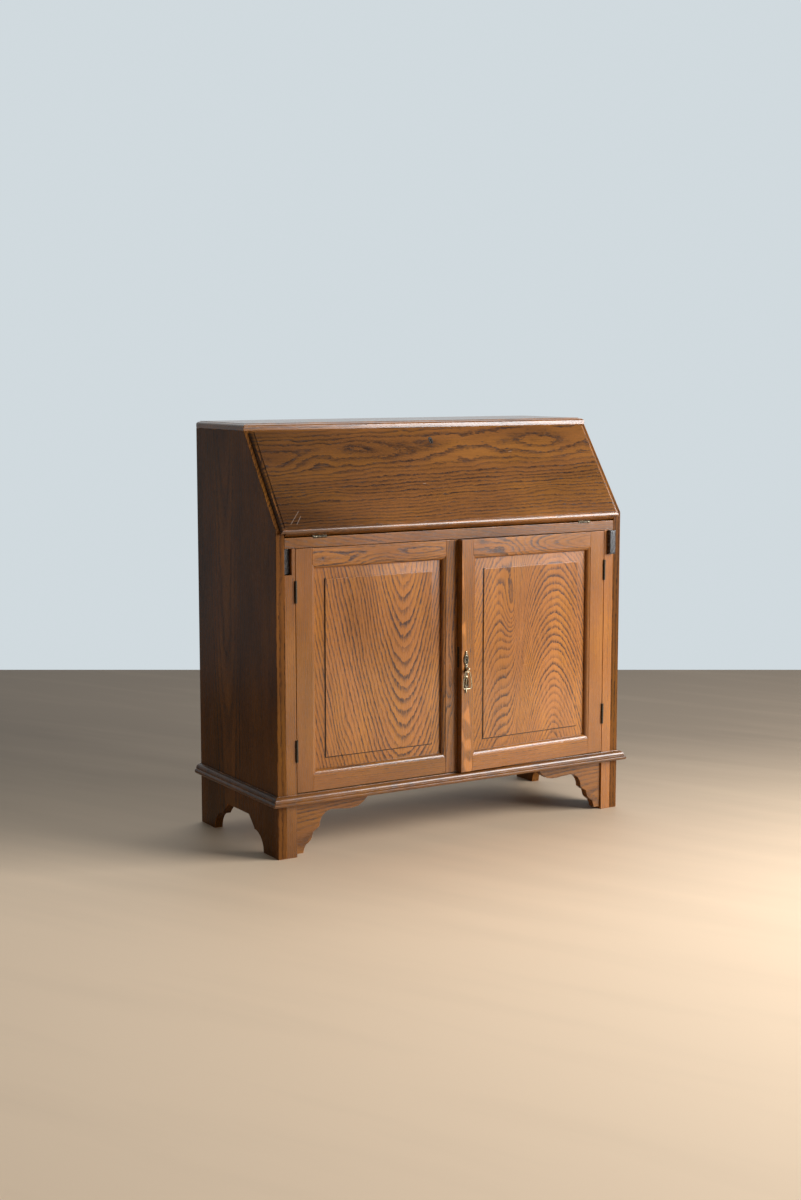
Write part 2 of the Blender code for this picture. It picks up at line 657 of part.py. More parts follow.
def door_stile(name, edge, inward, width, side, finish, door):
    """edge is the stile's outer X, and inward is the way from it towards the panel."""
    face = DOOR_AXIS_PROUD
    low = (side * edge, face, DOOR_BOTTOM)
    high = (side * (edge + inward * width), face + DOOR_THICKNESS, DOOR_TOP)
    stile = block(name, low, high, finish, door)
    grip = 0.002
    outline = [(width - grip, 0.003)] + sticking(width)
    outline += [(width, DOOR_THICKNESS), (width - grip, DOOR_THICKNESS - 0.003)]
    rings = []
    for foot, rise in ((DOOR_BOTTOM + BOTTOM_RAIL, 1), (DOOR_TOP - TOP_RAIL, -1)):
        ring = []
        for across, depth in outline:
            x = side * (edge + inward * across)
            ring.append((x, face + depth, foot + rise * (across - width)))
        rings.append(ring)
    combine(stile, loft(name + "_sticking", rings, finish, door), "UNION")
    return stile


def door_rail(name, edge, inward, width, side, finish, door):
    """edge is the rail's outer Z. Its moulded part is mitred into the stiles', and the rest butts them."""
    face = DOOR_AXIS_PROUD
    left = DOOR_GAP / 2 + HANGING_STILE + GAP
    right = DOOR_EDGE - MEETING_STILE - GAP
    square = [(0.0, 0.0), (width, 0.0)]
    moulded = sticking(width)
    outline = square + moulded + [(width, DOOR_THICKNESS), (0.0, DOOR_THICKNESS)]
    shape = bmesh.new()
    rings = []
    for end, way in ((left, 1), (right, -1)):
        ring = []
        for across, depth in outline:
            x = end + way * max(0.0, across - width)
            ring.append(shape.verts.new((side * x, face + depth, edge + inward * across)))
        rings.append(ring)
    count = len(outline)
    for i in range(count):
        j = (i + 1) % count
        shape.faces.new((rings[0][i], rings[0][j], rings[1][j], rings[1][i]))
    for ring in rings:
        shape.faces.new(ring[:3] + ring[-2:])
        shape.faces.new(ring[2:-1])
    return finished(name, shape, finish, door)


def door_panel(name, side, finish, door):
    """A raised and fielded panel, whose tongue lies in the frame's groove."""
    play = STICKING_WIDTH - TONGUE_GRIP
    low_x = DOOR_GAP / 2 + HANGING_STILE + play
    high_x = DOOR_EDGE - MEETING_STILE - play
    low_z, high_z = DOOR_BOTTOM + BOTTOM_RAIL + play, DOOR_TOP - TOP_RAIL - play
    front = DOOR_AXIS_PROUD + GROOVE_FRONT + GAP
    bevel = TONGUE_GRIP + PANEL_BEVEL
    levels = [(0.0, front + TONGUE_THICKNESS), (0.0, front), (TONGUE_GRIP, front)]
    levels += [(bevel, front - BEVEL_RISE)]
    levels += [(bevel + SHOULDER_SLOPE, front - BEVEL_RISE - SHOULDER_RISE)]
    rings = []
    for inset, y in levels:
        x0, x1 = side * (low_x + inset), side * (high_x - inset)
        z0, z1 = low_z + inset, high_z - inset
        rings.append([(x0, y, z0), (x1, y, z0), (x1, y, z1), (x0, y, z1)])
    loft(name, rings, finish, door)


def door_hinges(which, side, finish, case, door):
    for place, height in zip(("lower", "upper"), hinge_heights()):
        size = (DOOR_HINGE_LENGTH, DOOR_HINGE_LEAF, HINGE_RADIUS, DOOR_GAP / 2)
        on_door = Matrix.Translation((0.0, 0.0, height)) @ Matrix.Diagonal((side, 1, 1, 1))
        hinge_leaf(f"{which}_door_leaf_{place}", on_door, size, False, finish, door)
        axis = Matrix.Translation((-side * DOOR_AXIS_X, -DOOR_AXIS_PROUD, height))
        on_case = axis @ Matrix.Diagonal((-side, 1, 1, 1))
        hinge_leaf(f"{which}_case_leaf_{place}", on_case, size, True, finish, case)


def build_door(which, side, turn, finish, case):
    """side is +1 for the left door, whose width runs along +X from its hinge, and -1 for the right door."""
    oak = finish["oak"]
    door = empty(which + "_door_place", (-side * DOOR_AXIS_X, -DOOR_AXIS_PROUD, 0.0), (0.0, 0.0, turn), case)
    hanging = door_stile(which + "_hanging_stile", DOOR_GAP / 2, 1, HANGING_STILE, side, oak, door)
    for height in hinge_heights():
        cut_hinge_recess(hanging, 0.0, side, height, 0.0)
    meeting = door_stile(which + "_meeting_stile", DOOR_EDGE, -1, MEETING_STILE, side, oak, door)
    door_rail(which + "_top_rail", DOOR_TOP, -1, TOP_RAIL, side, oak, door)
    door_rail(which + "_bottom_rail", DOOR_BOTTOM, 1, BOTTOM_RAIL, side, oak, door)
    door_panel(which + "_door_panel", side, oak, door)
    door_hinges(which, side, finish["brass"], case, door)
    return door, meeting


def build_left_door(finish, case):
    door, meeting = build_door("left", 1, 0.0, finish, case)
    thick = DOOR_BOLT_SIZE[2] / 2 + 0.0008
    tall = DOOR_BOLT_SIZE[1] / 2 + 0.0008
    middle = DOOR_AXIS_PROUD + DOOR_THICKNESS - DOOR_BOLT_FROM_BACK
    cut(
        meeting,
        (DOOR_EDGE - BOLT_TRAVEL - 0.001, middle - thick, LOCK_HEIGHT - tall),
        (DOOR_EDGE + 0.002, middle + thick, LOCK_HEIGHT + tall),
    )
    wide, deep, long = LEFT_BOLT_SIZE
    bolt_x = DOOR_EDGE - MEETING_STILE / 2
    back = DOOR_AXIS_PROUD + DOOR_THICKNESS + GAP
    low = (bolt_x - wide / 2, back, DOOR_TOP - long)
    block("left_door_bolt", low, (bolt_x + wide / 2, back + deep, DOOR_TOP), finish["brass"], door)


def plate_outline():
    """Right half of the handle's back plate as (half width, height above its foot)."""
    outline = [(0.0009, 0.0), (0.0022, 0.0030), (0.0016, 0.0060), (0.0034, 0.0090)]
    outline += arc((0.0, 0.0265), (0.0072, 0.0165), -55, 62)
    outline += [(0.0026, 0.0455), (0.0040, 0.0500), (0.0040, 0.0610), (0.0024, 0.0640)]
    outline += arc((0.0, 0.0795), (0.0070, 0.0135), -55, 62)
    return outline + [(0.0018, 0.0940), (0.0026, 0.0965), (0.0009, PLATE_TOP - PLATE_BOTTOM)]


def build_handle(finish, door):
    """Back plate with a pivot lug and a ball, and the drop bail that swings on the lug."""
    brass = finish["brass"]
    face = DOOR_AXIS_PROUD - GAP
    across = -HANDLE_X
    half = plate_outline()
    outline = [(across + x, PLATE_BOTTOM + up) for x, up in half]
    outline += [(across - x, PLATE_BOTTOM + up) for x, up in reversed(half)]
    plate = loft("handle_plate", along_y(outline, face, face - PLATE_THICKNESS), brass, door)
    keyhole(plate, LOCK_HEIGHT, "Y", (face + 0.001, face - PLATE_THICKNESS - 0.001), door, across)

    pivot = (across, DOOR_AXIS_PROUD - PIVOT_REACH, BALL_HEIGHT - PIVOT_BELOW_BALL)
    lug_low = (across - LUG_WIDTH / 2, pivot[1] - LUG_REACH, pivot[2] - LUG_REACH)
    lug_high = (across + LUG_WIDTH / 2, face - PLATE_THICKNESS / 2, BALL_HEIGHT + BALL_RADIUS / 2)
    combine(plate, block("handle_lug", lug_low, lug_high, brass, door), "UNION")
    neck = DOOR_AXIS_PROUD - BALL_REACH
    profile = [(x, y) for y, x in arc((0.0, 0.0), (BALL_RADIUS, BALL_RADIUS), 173, 7)]
    knob = turned("handle_ball", profile, (across, neck, BALL_HEIGHT), (0, -1, 0), brass, door)
    combine(plate, knob, "UNION")

    curve = bpy.data.curves.new("handle_bail", "CURVE")
    curve.dimensions = "3D"
    curve.bevel_depth = BAIL_RADIUS
    curve.bevel_resolution = 2
    curve.use_fill_caps = True
    curve.materials.append(brass)
    start = LUG_WIDTH / 2 + GAP
    wide = BAIL_HALF_WIDTH
    leg = [(start, 0.0), (start + 0.0022, 0.0), (start + 0.0042, -0.0034)]
    leg += [(wide * 0.72, -0.28 * BAIL_DROP), (wide * 0.89, -0.48 * BAIL_DROP)]
    leg += [(wide * 0.98, -0.68 * BAIL_DROP), (wide, -BAIL_DROP + 0.0060)]
    leg += [(wide - 0.0010, -BAIL_DROP + 0.0022), (wide - 0.0040, -BAIL_DROP)]
    path = leg + [(-x, z) for x, z in reversed(leg)]
    spline = curve.splines.new("POLY")
    spline.points.add(len(path) - 1)
    for point, (x, z) in zip(spline.points, path):
        point.co = (x, 0.0, z, 1.0)
    bail = bpy.data.objects.new("handle_bail", curve)
    bpy.context.scene.collection.objects.link(bail)
    bail.parent = door
    bail.location = pivot
    return pivot


def build_right_door(finish, case):
    door, meeting = build_door("right", -1, AJAR, finish, case)
    wide, tall, thick = DOOR_LOCK_SIZE
    back = DOOR_AXIS_PROUD + DOOR_THICKNESS
    edge = -DOOR_EDGE
    low = (edge, back - thick, LOCK_HEIGHT - tall / 2)
    high = (edge + wide, back - GAP, LOCK_HEIGHT + tall / 2)
    cut(meeting, (edge - 0.002, low[1] - GAP, low[2] - GAP), (high[0] + GAP, back + 0.002, high[2] + GAP))
    keyhole(meeting, LOCK_HEIGHT, "Y", (0.0, low[1] + 0.001), door, -HANDLE_X)
    lock = block("door_lock", (edge + GAP, low[1], low[2]), high, finish["iron"], door)
    bolt_long, bolt_tall, bolt_thick = DOOR_BOLT_SIZE
    middle = DOOR_AXIS_PROUD + DOOR_THICKNESS - DOOR_BOLT_FROM_BACK
    bolt_low = (edge + GAP, middle - bolt_thick / 2, LOCK_HEIGHT - bolt_tall / 2)
    bolt_high = (edge + GAP + bolt_long, middle + bolt_thick / 2, LOCK_HEIGHT + bolt_tall / 2)
    cut(
        lock,
        (edge - 0.002, low[1] - 0.002, bolt_low[2] - GAP),
        (bolt_high[0] + GAP, bolt_high[1] + GAP, bolt_high[2] + GAP),
    )
    block("door_lock_bolt", bolt_low, bolt_high, finish["brass"], door)
    build_handle(finish, door)


# Lopers and interior


def build_lopers(finish, case):
    for name, side, start in (("left", -1, LEFT_LOPER_IN), ("right", 1, -RIGHT_LOPER_OUT)):
        place = empty(f"loper_{name}_place", (0.0, start, 0.0), parent=case)
        outer = side * (INNER - LOPER_CLEARANCE)
        inner = outer - side * LOPER_WIDTH
        bottom = RAIL_BOTTOM - LOPER_CLEARANCE - LOPER_HEIGHT
        high = (outer, LOPER_LENGTH, bottom + LOPER_HEIGHT)
        block("loper_" + name, (inner, 0.0, bottom), high, finish["oak_dark"], place)


def small_drawer(name, low_x, high_x, finish, case):
    front = INTERIOR_FRONT
    place = empty(name + "_place", (0.0, front, 0.0), parent=case)
    bottom = WRITING_HEIGHT + 2 * GAP
    top = WRITING_HEIGHT + DRAWER_BAY_HEIGHT - DRAWER_CLEARANCE
    tray = block(name, (low_x, 0.0, bottom), (high_x, DRAWER_DEPTH, top), finish["inner_wood"], place)
    cut(
        tray,
        (low_x + DRAWER_WALL, DRAWER_FRONT, bottom + DRAWER_WALL),
        (high_x - DRAWER_WALL, DRAWER_DEPTH - DRAWER_WALL, top + 0.01),
    )
    radius, reach = KNOB_RADIUS, KNOB_REACH
    profile = [(radius * 0.55, 0.0), (radius * 0.55, reach * 0.12), (radius * 0.35, reach * 0.3)]
    profile += [(radius * 0.5, reach * 0.5), (radius, reach * 0.68), (radius * 0.95, reach * 0.85)]
    profile += [(radius * 0.4, reach)]
    centre = ((low_x + high_x) / 2, -GAP, (bottom + top) / 2)
    knob = turned(name + "_knob", profile, centre, (0, -1, 0), finish["brass"], place)
    smooth(knob)


def build_interior(finish, case):
    wood = finish["inner_wood"]
    front, back = INTERIOR_FRONT, INTERIOR_BACK - GAP
    inner = INNER - 2 * GAP
    shelf_low = WRITING_HEIGHT + DRAWER_BAY_HEIGHT
    shelf_top = shelf_low + BOARD_THICKNESS
    block("pigeonhole_shelf", (-inner, front, shelf_low), (inner, back, shelf_top), wood, case)
    half = BOARD_THICKNESS / 2
    for name, side in (("left", -1), ("right", 1)):
        x = side * LOWER_DIVIDER_X
        low, high = (x - half, front, WRITING_HEIGHT + GAP), (x + half, back, shelf_low - GAP)
        block("lower_divider_" + name, low, high, wood, case)
        x = side * UPPER_DIVIDER_X
        low, high = (x - half, front + 0.004, shelf_top + GAP), (x + half, back, CASE_TOP - GAP)
        block("upper_divider_" + name, low, high, wood, case)
        near = LOWER_DIVIDER_X + half + DRAWER_CLEARANCE
        far = inner - DRAWER_CLEARANCE
        span = sorted((side * near, side * far))
        small_drawer("drawer_" + name, span[0], span[1], finish, case)


def main():
    for leftover in list(bpy.data.objects):
        bpy.data.objects.remove(leftover, do_unlink=True)
    finish = make_materials()
    case = empty("desk", (0.0, (FRONT_REACH - DEPTH) / 2, 0.0))
    build_case(finish, case)
    build_fall(finish, case)
    build_left_door(finish, case)
    build_right_door(finish, case)
    build_lopers(finish, case)
    build_interior(finish, case)


main()
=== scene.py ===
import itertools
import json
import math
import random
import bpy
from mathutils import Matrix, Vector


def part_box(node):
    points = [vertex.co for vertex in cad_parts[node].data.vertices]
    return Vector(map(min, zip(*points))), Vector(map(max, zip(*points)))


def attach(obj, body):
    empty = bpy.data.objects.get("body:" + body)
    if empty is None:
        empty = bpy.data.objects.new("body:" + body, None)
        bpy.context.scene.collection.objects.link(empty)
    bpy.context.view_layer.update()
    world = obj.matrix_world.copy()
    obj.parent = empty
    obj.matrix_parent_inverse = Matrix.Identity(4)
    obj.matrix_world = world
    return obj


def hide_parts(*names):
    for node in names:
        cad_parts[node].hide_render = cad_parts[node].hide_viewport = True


bl_info = {
    "name": "Slant-Front Desk",
    "version": (1, 0, 0),
    "blender": (4, 5, 0),
    "location": "View3D > Sidebar > Desk",
    "description": "Finishes a slant-front oak desk around its frame: boards, brass and a studio",
    "category": "Object",
}

import bpy
from bpy.props import FloatProperty, FloatVectorProperty, PointerProperty
from mathutils import Matrix, Vector

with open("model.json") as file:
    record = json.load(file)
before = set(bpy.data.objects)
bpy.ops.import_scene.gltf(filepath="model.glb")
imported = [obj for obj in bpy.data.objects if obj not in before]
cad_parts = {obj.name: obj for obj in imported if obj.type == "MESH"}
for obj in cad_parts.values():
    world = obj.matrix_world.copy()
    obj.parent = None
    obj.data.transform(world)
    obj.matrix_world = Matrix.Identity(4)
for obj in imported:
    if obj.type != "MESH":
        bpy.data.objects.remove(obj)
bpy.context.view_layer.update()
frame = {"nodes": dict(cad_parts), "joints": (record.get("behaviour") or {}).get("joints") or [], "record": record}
NODES = frame["nodes"]
JOINTS = {joint["name"]: joint for joint in frame["joints"]}
BODY_OF = {
    node: body
    for body, members in frame["record"]["behaviour"]["bodies"].items()
    for node in members
}


# Places read from the frame


def low(node):
    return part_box(node)[0]


def high(node):
    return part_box(node)[1]


def middle(node):
    return (low(node) + high(node)) / 2


FRONT = low("front_rail").y  # the case's front plane
AJAR = -math.radians(JOINTS["right_door_hinge"]["range_deg"][0])
SLOPE_RUN = Vector(JOINTS["fall_bolt_slide"]["axis"])
SLOPE = math.atan2(SLOPE_RUN.z, SLOPE_RUN.y)
FALL_AXIS = Vector(JOINTS["fall_hinge"]["pos_m"])
RIGHT_AXIS = Vector(JOINTS["right_door_hinge"]["pos_m"])
LEFT_AXIS = Vector(JOINTS["left_door_hinge"]["pos_m"])
BAIL_AXIS = Vector(JOINTS["bail_pivot"]["pos_m"])

# The fall's and the doors' own coordinates, turned and moved to where they stand
FALL_PLACE = Matrix.Translation(FALL_AXIS) @ Matrix.Rotation(SLOPE, 4, "X")
FALL_INSIDE = FALL_PLACE.to_3x3() @ Vector((0, 0, -1))  # the way its inner face looks
LEFT_PLACE = Matrix.Translation((LEFT_AXIS.x, LEFT_AXIS.y, 0))
RIGHT_PLACE = Matrix.Translation((RIGHT_AXIS.x, RIGHT_AXIS.y, 0)) @ Matrix.Rotation(AJAR, 4, "Z")


def own_points(node, place):
    """A node's corners in the coordinates of a turned part."""
    inward = place.inverted()
    return [inward @ vertex.co for vertex in NODES[node].data.vertices]


def corners_of(points):
    """Lowest and highest corners of the box around some points."""
    return [Vector([pick(point[i] for point in points) for i in range(3)]) for pick in (min, max)]


def own_box(node, place):
    """Lowest and highest corners of a node in the coordinates of a turned part."""
    return corners_of(own_points(node, place))


def field_size(node):
    """Half the width, half the height and the slant of a panel's raised field.

    The field is the panel's foremost face.
    """
    left = node.startswith("left")
    points = own_points(node, LEFT_PLACE if left else RIGHT_PLACE)
    face = min(point.y for point in points)
    start, end = corners_of([point for point in points if point.y < face + 0.0002])
    half = (end - start) / 2
    return half.x, half.z, math.tan(0.0 if left else AJAR)


# Sizes and colours that a user may change


def colour_property(label, words, default):
    return FloatVectorProperty(
        name=label, description=words, subtype="COLOR", size=3, min=0, max=1, default=default
    )


def length_property(label, words, default, top=0.1):
    return FloatProperty(
        name=label, description=words, subtype="DISTANCE", unit="LENGTH", min=0.00005, max=top,
        default=default,
    )


class WoodSettings(bpy.types.PropertyGroup):
    light: colour_property("Oak", "Late wood between the rings", (0.410, 0.148, 0.033))
    dark: colour_property("Pores", "Stain held in the open early wood", (0.066, 0.024, 0.011))
    amber: colour_property("Amber", "Warmer patches of varnish", (0.450, 0.165, 0.028))
    inner: colour_property("Inner oak", "Boards inside and behind", (0.300, 0.175, 0.085))
    ebony: colour_property("Ebonised oak", "Loper ends", (0.040, 0.034, 0.032))
    arris: length_property("Arris", "Rounding of a board's corners", 0.0008, 0.003)
    gloss: FloatProperty(
        name="Roughness", description="Roughness of the varnish", min=0.05, max=1, default=0.25
    )


class MetalSettings(bpy.types.PropertyGroup):
    brass: colour_property("Brass", "Rubbed brass of the handle", (0.64, 0.54, 0.36))
    tarnish: colour_property("Tarnish", "Brown skin on old brass", (0.060, 0.045, 0.028))
    iron: colour_property("Iron", "Lock and nail iron", (0.14, 0.13, 0.12))
    screw: length_property("Screw head", "Radius of a door hinge screw's head", 0.0025, 0.01)


class StageSettings(bpy.types.PropertyGroup):
    reach: length_property("Floor reach", "Distance from the desk to the floor's edges", 2.15, 10)
    floor: colour_property("Floor", "Pale oiled floor", (0.62, 0.455, 0.31))
    wall: colour_property("Wall", "Pale wall behind the desk", (0.635, 0.70, 0.735))
    window: FloatProperty(
        name="Window light", description="Power of the window light in watts", min=0, default=245
    )


class DeskSettings(bpy.types.PropertyGroup):
    wood: PointerProperty(type=WoodSettings, name="Wood", description="Oak and its finish")
    metal: PointerProperty(type=MetalSettings, name="Metal", description="Brass and iron fittings")
    stage: PointerProperty(type=StageSettings, name="Stage", description="Floor, wall and light")


def settings():
    return bpy.context.scene.desk


# Shader graphs written as expressions


class Signal:
    """A number that varies over a surface: the output socket of a node in a graph."""

    def __init__(self, graph, socket):
        self.graph = graph
        self.socket = socket

    def maths(self, operation, *others):
        inputs = dict(enumerate([self, *others]))
        return self.graph.add("ShaderNodeMath", {"operation": operation}, inputs)

    def __add__(self, other):
        return self.maths("ADD", other)

    __radd__ = __add__

    def __sub__(self, other):
        return self.maths("SUBTRACT", other)

    def __rsub__(self, other):
        return self.maths("MULTIPLY_ADD", -1.0, other)

    def __mul__(self, other):
        return self.maths("MULTIPLY", other)

    __rmul__ = __mul__

    def clamp(self):
        return self.graph.add("ShaderNodeClamp", {}, {"Value": self})

    def root(self):
        return self.maths("SQRT")

    def absolute(self):
        return self.maths("ABSOLUTE")

    def fraction(self):
        return self.maths("FRACT")

    def whole(self):
        return self.maths("FLOOR")

    def larger(self, other):
        return self.maths("MAXIMUM", other)

    def fall_off(self):
        """Falls from 1 towards 0 as the signal grows."""
        return self.maths("MULTIPLY", -1.0).maths("EXPONENT")

    def step(self, start, end, low=0.0, high=1.0):
        """Goes smoothly from low to high as the signal goes from start to end."""
        span = {"Value": self, "From Min": start, "From Max": end, "To Min": low, "To Max": high}
        return self.graph.add(
            "ShaderNodeMapRange", {"interpolation_type": "SMOOTHSTEP"}, span, "Result"
        )


class Graph:
    """The nodes of a material or of the world."""

    def __init__(self, owner):
        self.owner = owner
        owner.use_nodes = True
        self.tree = owner.node_tree

    def add(self, kind, setup, inputs, output=0):
        """Adds a node, makes its settings, then fills its sockets with values or links."""
        node = self.tree.nodes.new(kind)
        for key, value in setup.items():
            if key == "stops":
                self.fill_ramp(node.color_ramp, value)
            else:
                setattr(node, key, value)
        for key, value in inputs.items():
            self.feed(node.inputs[key], value)
        return Signal(self, node.outputs[output])

    def feed(self, socket, value):
        if isinstance(value, Signal):
            self.tree.links.new(value.socket, socket)
        else:
            socket.default_value = value

    def fill_ramp(self, ramp, stops):
        while len(ramp.elements) < len(stops):
            ramp.elements.new(1.0)
        for element, (place, value) in zip(ramp.elements, stops):
            element.position = place
            element.color = (value, value, value, 1.0)

    def place(self, turn=(0.0, 0.0, 0.0), shift=(0.0, 0.0, 0.0)):
        """Object coordinates, turned and moved, as three signals."""
        here = self.add("ShaderNodeTexCoord", {}, {}, "Object")
        moved = self.add(
            "ShaderNodeMapping", {}, {"Vector": here, "Location": shift, "Rotation": turn}
        )
        return self.split(moved)

    def split(self, vector):
        """A vector's three numbers, as a signal for each axis."""
        parts = self.tree.nodes.new("ShaderNodeSeparateXYZ")
        self.feed(parts.inputs[0], vector)
        return {axis: Signal(self, parts.outputs[axis]) for axis in "XYZ"}

    def noise(self, x, y, z, detail=1.0, rough=0.5):
        vector = self.add("ShaderNodeCombineXYZ", {}, {0: x, 1: y, 2: z})
        inputs = {"Vector": vector, "Scale": 1.0, "Detail": detail, "Roughness": rough}
        return self.add("ShaderNodeTexNoise", {}, inputs)

    def dice(self, whole):
        """A random number for each whole number."""
        setup = {"noise_dimensions": "1D"}
        return self.add("ShaderNodeTexWhiteNoise", setup, {"W": whole}, "Value")

    def mark(self, name):
        """A number stored on the mesh."""
        return self.add("ShaderNodeAttribute", {"attribute_name": name}, {}, "Fac")

    def ramp(self, value, stops):
        return self.add("ShaderNodeValToRGB", {"stops": stops}, {"Fac": value}, "Color")

    def mix(self, share, first, second):
        """Blends two colours."""
        inputs = {"Factor": share, 6: first, 7: second}
        return self.add("ShaderNodeMix", {"data_type": "RGBA"}, inputs, 2)

    def tint(self, colour, share):
        """Scales a colour by a signal."""
        inputs = {0: colour, "Scale": share}
        return self.add("ShaderNodeVectorMath", {"operation": "SCALE"}, inputs)

    def bump(self, height, distance, strength=1.0):
        inputs = {"Height": height, "Distance": distance, "Strength": strength}
        return self.add("ShaderNodeBump", {}, inputs, "Normal")

    def finish(self, fixed, **varying):
        """Sets a material's fixed shader sockets, then links the ones that vary."""
        shader = self.tree.nodes["Principled BSDF"]
        for key, value in fixed.items():
            shader.inputs[key].default_value = value
        for key, value in varying.items():
            self.feed(shader.inputs[key.replace("_", " ").title()], value)
        return self.owner


def rgba(colour, share=1.0):
    return (colour[0] * share, colour[1] * share, colour[2] * share, 1.0)


# Oak

# The grain's direction, then the way across the board, then the way into it
GRAIN_AXES = {
    "X": "XZY",
    "X flat": "XYZ",
    "Y": "YZX",
    "Z": "ZXY",
    "Z side": "ZYX",
}

# How dark the wood is through one year's growth
RING = [(0.0, 1.0), (0.12, 0.95), (0.32, 0.48), (0.52, 0.10), (0.90, 0.02), (1.0, 0.9)]

# How often each texture of the grain repeats in a metre, along the grain and across it
HAND, THUMB, PORE = (2.2, 6.0), (15.0, 38.0), (110.0, 280.0)
FIBRE, GRIT, DASH = (14.0, 260.0), (60.0, 300.0), (55.0, 900.0)
CLOUD, PATCH, RUB = (2.5, 8.0), (4.0, 16.0), (18.0, 30.0)

SCRATCH_COLOUR = (0.50, 0.38, 0.30, 1.0)


def oak(name, run, seed, pith=(0.05, 0.10), lean=(0.0, 0.10), taper=0.0, rings=110.0,
        drift=0.016, wave=0.003, jag=0.004, tone=1.0, turn=0.0, centre=(0.0, 0.0, 0.0),
        wood="light", contrast=1.0, varnish=(0.35, 0.40), plank=0.0, swirls=(), scratches=(),
        field=None, painted_end_shade=None):
    """Open-grained oak cut from a tree whose pith lies across and behind the board.

    pith is the pith's place beside and behind centre, and lean how fast it drifts along the
    grain, which draws the long arches of a plain-sawn board. taper makes the arches close
    together and pointed. rings is the number of years in a metre. drift, wave and jag bend the
    rings over a hand, a thumb and a pore. turn is the board's slope. varnish is the coat and the
    specular level, and plank the width of boards laid side by side. A swirl is (along, across,
    half length, half width, push), which bends the rings round a knot, and a scratch is (along,
    across, degrees, length). field is half the size and the slant of a raised field, whose
    shoulder gets a band of painted shade at its left and its foot. The last argument is (start,
    end, tone at the start) of an end of the board that is darkened with painted shade.
    """
    look = settings().wood
    graph = Graph(bpy.data.materials.new(name))
    shift = (Matrix.Rotation(turn, 3, "X") @ Vector(centre)) * -1.0
    axes = graph.place((turn, 0.0, 0.0), shift)
    along, across, deep = (axes[letter] for letter in GRAIN_AXES[run])
    draw = random.Random(seed)
    start = [draw.uniform(-9.0, 9.0) for _ in range(4)]
    if plank:
        board = graph.dice((across * (1.0 / plank) + start[0]).whole())
        along = along + board * 7.0

    def texture(pace, shifts=(0.0, 0.0, 0.0), detail=1.0, rough=0.5):
        """Noise that is drawn out along the grain."""
        paced = (along * pace[0], across * pace[1], deep * pace[1])
        moved = [axis + move if move else axis for axis, move in zip(paced, shifts)]
        return graph.noise(*moved, detail, rough)

    quick = texture(PORE, (0.0, start[2], 0.0), 2.0, 0.6)
    beside = across - pith[0] - along * lean[0]
    behind = deep + pith[1] - along * lean[1]
    radius = (beside * beside + behind * behind + 1e-6).root()
    if taper:
        radius = radius + along * taper
    radius = radius + (texture(HAND, (start[0], start[1], 0.0)) - 0.5) * drift
    radius = radius + (texture(THUMB, (0.0, start[3], 0.0), 2.0, 0.6) - 0.5) * wave
    radius = radius + (quick - 0.5) * jag
    for place, side, long, wide, push in swirls:
        off, up = (across - side) * (1.0 / wide), (along - place) * (1.0 / long)
        radius = radius + (off * off + up * up).fall_off() * push
    count = radius * rings
    year = graph.dice(count.whole())
    early = graph.ramp(count.fraction(), RING) * (year * 0.6 + 0.4)

    fibre = texture(FIBRE, (0.0, 0.0, start[0]), 3.0, 0.6)
    grit = texture(GRIT, (0.0, 0.0, start[1]), 2.0, 0.6)
    early = early * grit.step(0.30, 0.60, 0.45, 1.15)
    pores = texture(DASH, (0.0, 0.0, start[1])).step(0.54, 0.68) * (early * 0.8 + 0.2)
    cloud = texture(CLOUD, (start[2], 0.0, 0.0), 2.0)
    patch = texture(PATCH, (start[3], 0.0, 0.0), 2.0)

    base = getattr(look, wood)
    plain = wood != "light"
    dark = rgba(base, 0.45) if plain else rgba(look.dark)
    light = graph.mix(patch.step(0.42, 0.66), rgba(base), rgba(base if plain else look.amber))
    shade = early * (0.86 * contrast) + pores * 0.25 + (fibre - 0.5) * (0.65 * contrast)
    colour = graph.tint(graph.mix(shade.clamp(), light, dark), (cloud - 0.5) * 0.7 + tone)
    rubbed = graph.mark("arris") * texture(RUB).step(0.48, 0.60)
    colour = graph.mix(rubbed * 0.45, colour, rgba(base, 1.7))
    # Painted shade: the band outside the raised field's left side and foot is darkened.
    if field:
        colour = graph.tint(colour, 1.0 - painted_shoulder_shade(along, across, deep, field) * 0.86)
    # Painted shade: the board is darkened towards one end, down to the given tone.
    if painted_end_shade:
        colour = graph.tint(colour, along.step(painted_end_shade[0], painted_end_shade[1], painted_end_shade[2], 1.0))
    for scratch in scratches:
        line = scratch_line(along, across, quick, *scratch)
        colour = graph.mix(line * 0.42, colour, SCRATCH_COLOUR)
    roughness = early * 0.05 + pores * 0.15 + (cloud - 0.5) * 0.16 + look.gloss
    relief = graph.bump(pores * -0.8 + early * -0.2 + fibre * 0.10, 0.0004, 0.30)
    coat, specular = varnish
    fixed = {"Coat Weight": coat, "Coat Roughness": 0.14, "Specular IOR Level": specular}
    return graph.finish(fixed, base_color=colour, roughness=roughness, normal=relief)


def painted_shoulder_shade(along, across, deep, field):
    """Painted shade: 1 in a narrow band outside a raised field's left side and foot, on the
    board's front, where the shoulders face away from the light.
    """
    half_width, half_height, slant = field
    outside = (across.absolute() - half_width).larger(along.absolute() - half_height)
    left = across.step(0.004 - half_width, 0.002 - half_width)
    foot = along.step(0.004 - half_height, 0.002 - half_height)
    front = (deep - across * slant).step(0.001, -0.001)
    return outside.step(-0.0006, 0.0002) * outside.step(0.0034, 0.0018) * left.larger(foot) * front


def scratch_line(along, across, jitter, place, side, degrees, length):
    """1 on a thin wavering line whose middle is at place along and side across the board."""
    cosine, sine = math.cos(math.radians(degrees)), math.sin(math.radians(degrees))
    up, over = along - place, across - side
    past = (up * cosine + over * sine).absolute()
    off = (over * cosine - up * sine + (jitter - 0.5) * 0.001).absolute()
    return off.step(0.0009, 0.0002) * past.step(length / 2, length / 2.6)


